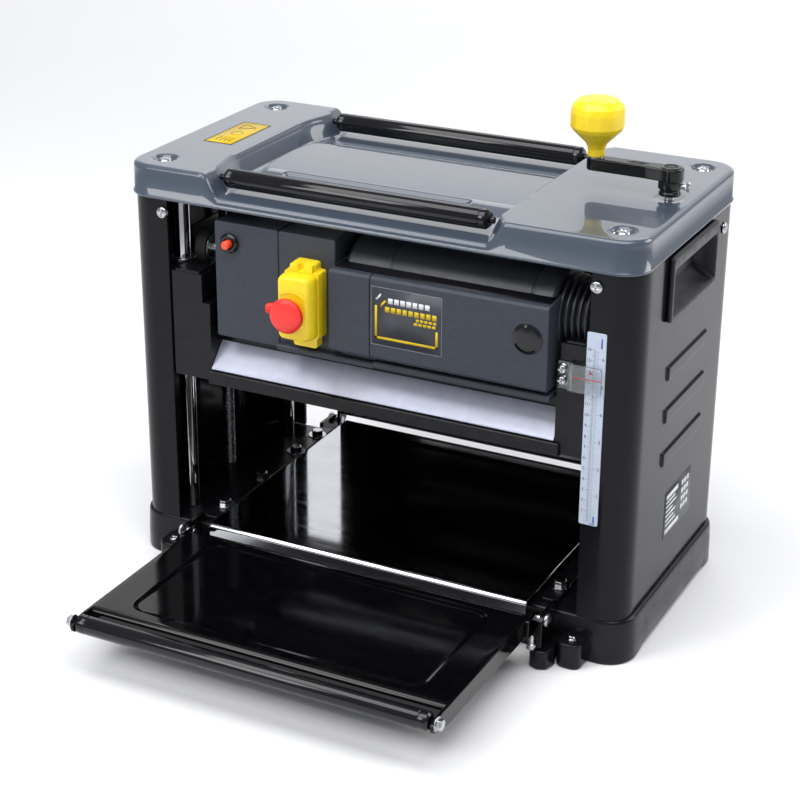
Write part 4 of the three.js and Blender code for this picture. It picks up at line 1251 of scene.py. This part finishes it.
def make_switch_lid():
    x0, x1, z0, z1, front, rear = -76, -43, 266, 326, -156, -141.2

    def ring(inset_l, inset_r, inset_z, y, r):
        return [spot("y", u, v, y) for u, v in
                rounded_rect(x0 + inset_l, x1 - inset_r, z0 + inset_z, z1 - inset_z, r, 6)]

    loops = [ring(2.4, 2.4, 2.4, front + 3, 3), ring(2.4, 2.4, 2.4, rear, 3), ring(0.4, 0.4, 0.4, rear, 5),
             ring(0, 0, 0, rear - 0.5, 5), ring(0, 0, 0, front + 7.4, 5), ring(0.7, 2.6, 0.7,
                                                                               front + 1.6, 5),
             ring(1.4, 3.6, 1.4, front + 0.4, 5), ring(2.6, 5.0, 2.6, front, 5)]
    bm = loft(loops, cap=(True, True))
    arc = turned(fillet([(17.6, front + 0.5), (19.4, front + 0.5), (19.4, front - 0.3),
                         (17.6, front - 0.3)],
                        0.15, 2), "y", (-61, 293), 64)
    close_tube(arc, 64)
    outside = [f for f in arc.faces if any(v.co.x < x0 + 3 or v.co.x > x1 - 5.2 for v in f.verts)]
    bmesh.ops.delete(arc, geom=outside, context="FACES")
    bmesh.ops.holes_fill(arc, edges=[e for e in arc.edges if len(e.link_faces) == 1], sides=0)
    append(bm, arc)
    rod("y", (-61, 293), 6.2, front + 1, front - 0.5, 0.2, 32, bm)
    piece("lid_shell", bm, YELLOW, "switch_lid", "yellow_plastic", "switch_lid", weld=False)


def make_buttons(mid):
    x, z = -61, 293
    face, back = -171, -163.2
    profile = fillet([(0, face), (8, face + 0.25), (13.2, face + 1.3), (16, face + 3.4),
                      (15.8, back), (12, back),
                      (0, back)], [0, 4, 4, 1.2, 0.8, 0, 0], 5, closed=False)
    bm = turned(profile, "y", (x, z), 72)
    ear = fillet([(x - 19.6, z + 0.5), (x - 19.6, z + 9), (x - 11, z + 9.6), (x - 9, z + 0.5)], [2,
                                                                                                 2, 2, 0], 4)
    prism(ear, "y", back - 0.4, back - 5, bm)
    rod("y", (x, z), 3.9, back + 0.1, -150.5, 0.3, 24, bm)
    piece("paddle_disc", bm, RED, "stop_paddle", "red_plastic", "stop_paddle", weld=False)
    for name, bz, finish, slot in (("stop", 280, RED, "red_plastic"), ("start", 306, GREEN,
                                                                       "green_plastic")):
        cap = turned(fillet([(0, mid + 7), (6.9, mid + 7), (6.9, mid - 1.6), (6, mid - 2.4),
                             (0, mid - 2.0)], 0.6,
                            3, closed=False), "y", (-59.5, bz), 40)
        piece(name + "_cap", cap, finish, name + "_button", slot, name + "_button")


# ---------------------------------------------------------------- crank, screws, cutter and drive

def screw_thread(x, start, end, radius, pitch, bm):
    """A round-crested helical thread as one closed ribbon."""
    per_turn = 20
    count = int((end - start) / pitch * per_turn)
    rows = []
    for k in range(count + 1):
        a = TURN * k / per_turn
        z = start + pitch * k / per_turn
        fade = min(1, k / per_turn, (count - k) / per_turn)
        crest = radius - 0.7 + 0.7 * fade
        row = []
        for r, dz in ((radius - 1.1, -pitch * 0.46), (crest, -pitch * 0.2), (crest, pitch * 0.2),
                      (radius - 1.1, pitch * 0.46)):
            row.append(bm.verts.new((x + r * math.cos(a), r * math.sin(a), z + dz)))
        rows.append(row)
    for low, high in zip(rows, rows[1:]):
        for k in range(4):
            n = (k + 1) % 4
            bm.faces.new((low[k], high[k], high[n], low[n]))
    bm.faces.new(rows[0])
    bm.faces.new(rows[-1][::-1])


def make_lead_screws():
    for x, body, side, top in ((CRANK_X, "crank", "right", 402), (-CRANK_X, "lead_screw_left",
                                                                  "left", 388)):
        bm = rod("z", (x, 0), 5.0, 24, 297, 0.5, 24)
        rod("z", (x, 0), 4.2, 296, top, 0.4, 32, bm)
        screw_thread(x, 46, 292, 6.0, 2.0, bm)
        sprocket(x, bm)
        node = ("lead_screw_left",) if x < 0 else ()
        piece("lead_screw_shaft_" + side, bm, STEEL, body, "steel", node, weld=False)


def sprocket(x, bm):
    """A chain wheel under the deck."""
    teeth = 12
    outline = []
    for k in range(teeth * 4):
        a = TURN * k / (teeth * 4)
        r = (8.3, 9.2, 9.7, 9.2)[k % 4]
        outline.append((x + r * math.cos(a), r * math.sin(a)))
    prism(outline, "z", 25.2, 27.8, bm)
    rod("z", (x, 0), 6.8, 22.2, 30, 0.4, 28, bm)


def make_crank():
    x, arm = CRANK_X, 69.2
    beam = arc_points(x, 0, 11.5, -90, 180, 12) + [(x - 9, 8.2), (x - 22, 7.2)]
    beam += arc_points(x - arm - 1.5, 0, 6.6, 90, 180, 12) + [(x - 22, -7.2), (x - 9, -8.2)]
    piece("crank_arm", prism(beam, "z", 414, 425.4), GLOSS, "crank", "crank_black", "crank", bevel=1.3,
          segments=4)
    hub = turned(fillet([(4.4, 401), (9.6, 401), (9.6, 403.8), (8.8, 404.6), (8.8, 406.2), (10.6, 407.4),
                         (10.6, 414.6), (7.0, 415), (4.4, 415)], 0.5, 3), "z", (x, 0), 48)
    close_tube(hub, 48)
    collar = turned(fillet([(6.2, 420), (8.8, 420), (8.8, 425.8), (8.2, 426.2), (6.2, 426.2)], 0.3, 3), "z",
                    (x, 0), 40)
    close_tube(collar, 40)
    append(hub, collar)
    piece("crank_hub", hub, SHINY, "crank", "crank_black", weld=False)
    # A matte black disc painted in the hub's bore as the shade of its socket.
    socket = turned([(0, 425.5), (6.3, 425.5), (6.3, 425.75), (0, 425.75)], "z", (x, 0), 32)
    piece("hub_socket_painted_shade", socket, INK_AND_SHADE, "crank", "crank_black")
    mark = bmesh.new()
    for a, b, c, d in ((-36, -24, 1.6, 2.3), (-36, -24, -2.3, -1.6), (-40, -33, -0.3, 0.4),
                       (-29, -20, -0.3, 0.4)):
        block(x + a, x + b, c, d, 425.2, 425.75, bm=mark)
    piece("arm_marks", mark, SHINY, "crank", "crank_black", bevel=0.15, weld=False)
    make_set_screw(x)
    pin = rod("z", (x - arm, 0), 3.4, 424.6, 449, 0.5, 28)
    rod("z", (x - arm, 0), 6.9, 425.2, 426.2, 0.2, 32, pin)
    piece("knob_pin", pin, STEEL, "crank", "steel", weld=False)
    flute = 12

    def wave(a, r, h):
        middle = smooth_step((h - 450.5) / 3) * smooth_step((471 - h) / 4)
        return r - 0.75 * middle * (1 - abs(math.cos(a * flute / 2))) ** 0.6

    rounded = fillet([(0, 426.4), (7.2, 426.4), (7.7, 427.4), (7.5, 433.5), (9.8, 438.4), (21.6, 450.0),
                      (23.9, 453.6), (23.9, 466), (22.6, 471.6), (17.6, 476.6), (9.6, 478.8), (0, 479)],
                     [0, 0.4, 0.6, 3, 3, 3, 2, 2.5, 4, 5, 6, 0], 5, closed=False)
    profile = []
    for (r0, h0), (_, h1) in zip(rounded, rounded[1:]):
        profile.append((r0, h0))
        if abs(r0 - 23.9) < 0.05 and h1 - h0 > 5:
            profile += [(r0, h0 + (h1 - h0) * k / 6) for k in range(1, 6)]
    profile.append(rounded[-1])
    piece("knob_grip", turned(profile, "z", (x - arm, 0), 144, wave), YELLOW, "knob",
          "yellow_plastic", "knob")


def make_set_screw(x):
    """The bright winged screw that clamps the crank's hub to its shaft."""
    bm = rod("x", (0, 409.8), 2.6, x + 9.5, x + 15, 0.3, 24)
    turned(thread_profile(2.7, x + 10.4, x + 14, 0.8, 0.3) + [(2.4, x + 14.1), (0, x + 14.1)], "x",
           (0, 409.8),
           24, bm=bm)
    wing = fillet([(x + 13.6, 407.6), (x + 13.6, 412), (x + 16.8, 414.4), (x + 18.8, 413.2),
                   (x + 17.2, 409.8),
                   (x + 18.8, 406.4), (x + 16.8, 405.2)], [1, 1, 1.2, 1.2, 1.5, 1.2, 1.2], 4)
    prism(wing, "y", -1.5, 1.5, bm)
    piece("hub_set_screw", bm, CHROME, "crank", "chrome", bevel=0.4, weld=False)


def make_cutter():
    for node, finish in (("cutter_block", STEEL), ("cutter_knife_1", CHROME), ("cutter_knife_2", CHROME)):
        carry_over(node, finish, 0.3, 2)
    carry_over("motor_shaft", STEEL, 0.4, 2)
    for sy, word in ((-1, "infeed"), (1, "outfeed")):
        y, z = sy * 62, 199.2
        x0, x1 = -160, 174

        def ribbed(a, r, h):
            return r - (0.5 if r > 12 else 0) * (0.5 - 0.5 * math.cos(a * 24))

        profile = [(0, x0), (12.6, x0), (13.9, x0 + 1.2), (13.9, x1 - 1.2), (12.6, x1), (0, x1)]
        bm = turned(profile, "x", (y, z), 96, ribbed)
        piece("feed_tyre_" + word, bm, RUBBER, word + "_roller", "rubber", word + "_roller")
        bm = rod("x", (y, z), 6, -203, -159, 0.5, 32)
        rod("x", (y, z), 6, 173, 203, 0.5, 32, bm)
        piece("feed_axle_" + word, bm, STEEL, word + "_roller", "steel", weld=False)


def make_chain():
    """The roller chain that ties the two lead screws together under the deck."""
    radius, half = 11.4, CRANK_X
    run = 2 * half
    total = 2 * run + TURN * radius
    links = 2 * round(total / 6.35 / 2)
    pitch = total / links

    def along(s):
        s %= total
        if s < run:
            return Vector((-half + s, -radius))
        if s < run + TURN * radius / 2:
            a = -math.pi / 2 + (s - run) / radius
            return Vector((half + radius * math.cos(a), radius * math.sin(a)))
        if s < 2 * run + TURN * radius / 2:
            return Vector((half - (s - run - TURN * radius / 2), radius))
        a = math.pi / 2 + (s - 2 * run - TURN * radius / 2) / radius
        return Vector((-half + radius * math.cos(a), radius * math.sin(a)))

    bm = bmesh.new()
    for k in range(links):
        a, b = along(k * pitch), along((k + 1) * pitch)
        turned([(0, 24.4), (1.0, 24.4), (1.0, 28.6), (0, 28.6)], "z", tuple(a), 8, bm=bm)
        way = (b - a).normalized()
        side = Vector((-way.y, way.x)) * 0.95
        a, b = a - way * 0.9, b + way * 0.9
        quad = [tuple(a - side), tuple(b - side), tuple(b + side), tuple(a + side)]
        for z in ((24.6, 25.2) if k % 2 else (25.3, 25.9), (27.8, 28.4) if k % 2 else (27.1, 27.7)):
            prism(quad, "z", z[0], z[1], bm)
    piece("sync_chain", bm, STEEL, "frame", "steel", "lead_screw_chain", weld=False)


def make_side_label():
    """A plain dark label with generic bars on the crank side."""
    face = SIDE_X
    plate = prism(rounded_rect(-29, 42, 83.5, 131, 1, 3), "x", face, face + 0.25)
    piece("side_label", plate, DECAL, "frame", "panel_black")
    bm = bmesh.new()
    bars = [(-25, 6, 122, 126.5)] + [(-25, -25 + w, 118 - 4.6 * k, 120 - 4.6 * k) for k, w in
                                     enumerate((24, 28, 18, 26, 22, 27))]
    bars += [(-25, 12, 87, 91.5)]
    bars += [(16 + 7 * c, 21 + 7 * c, 120 - 8.2 * r, 125 - 8.2 * r) for r in range(4) for c in range(3)]
    for y0, y1, z0, z1 in bars:
        block(face + 0.2, face + 0.4, y0, y1, z0, z1, bm=bm)
    piece("side_label_bars", bm, PALE_INK, "frame", "panel_black", weld=False)


def main():
    make_camera()
    make_stage()
    make_cover()
    make_cover_fittings()
    make_base()
    for sx in (-1, 1):
        make_panel(sx)
        make_handle(sx)
    make_posts()
    make_tables()
    make_scale()
    make_head()
    make_covers()
    make_motor()
    make_hood()
    make_cursor()
    make_switch()
    make_lead_screws()
    make_crank()
    make_cutter()
    make_chain()
    make_side_label()


main()
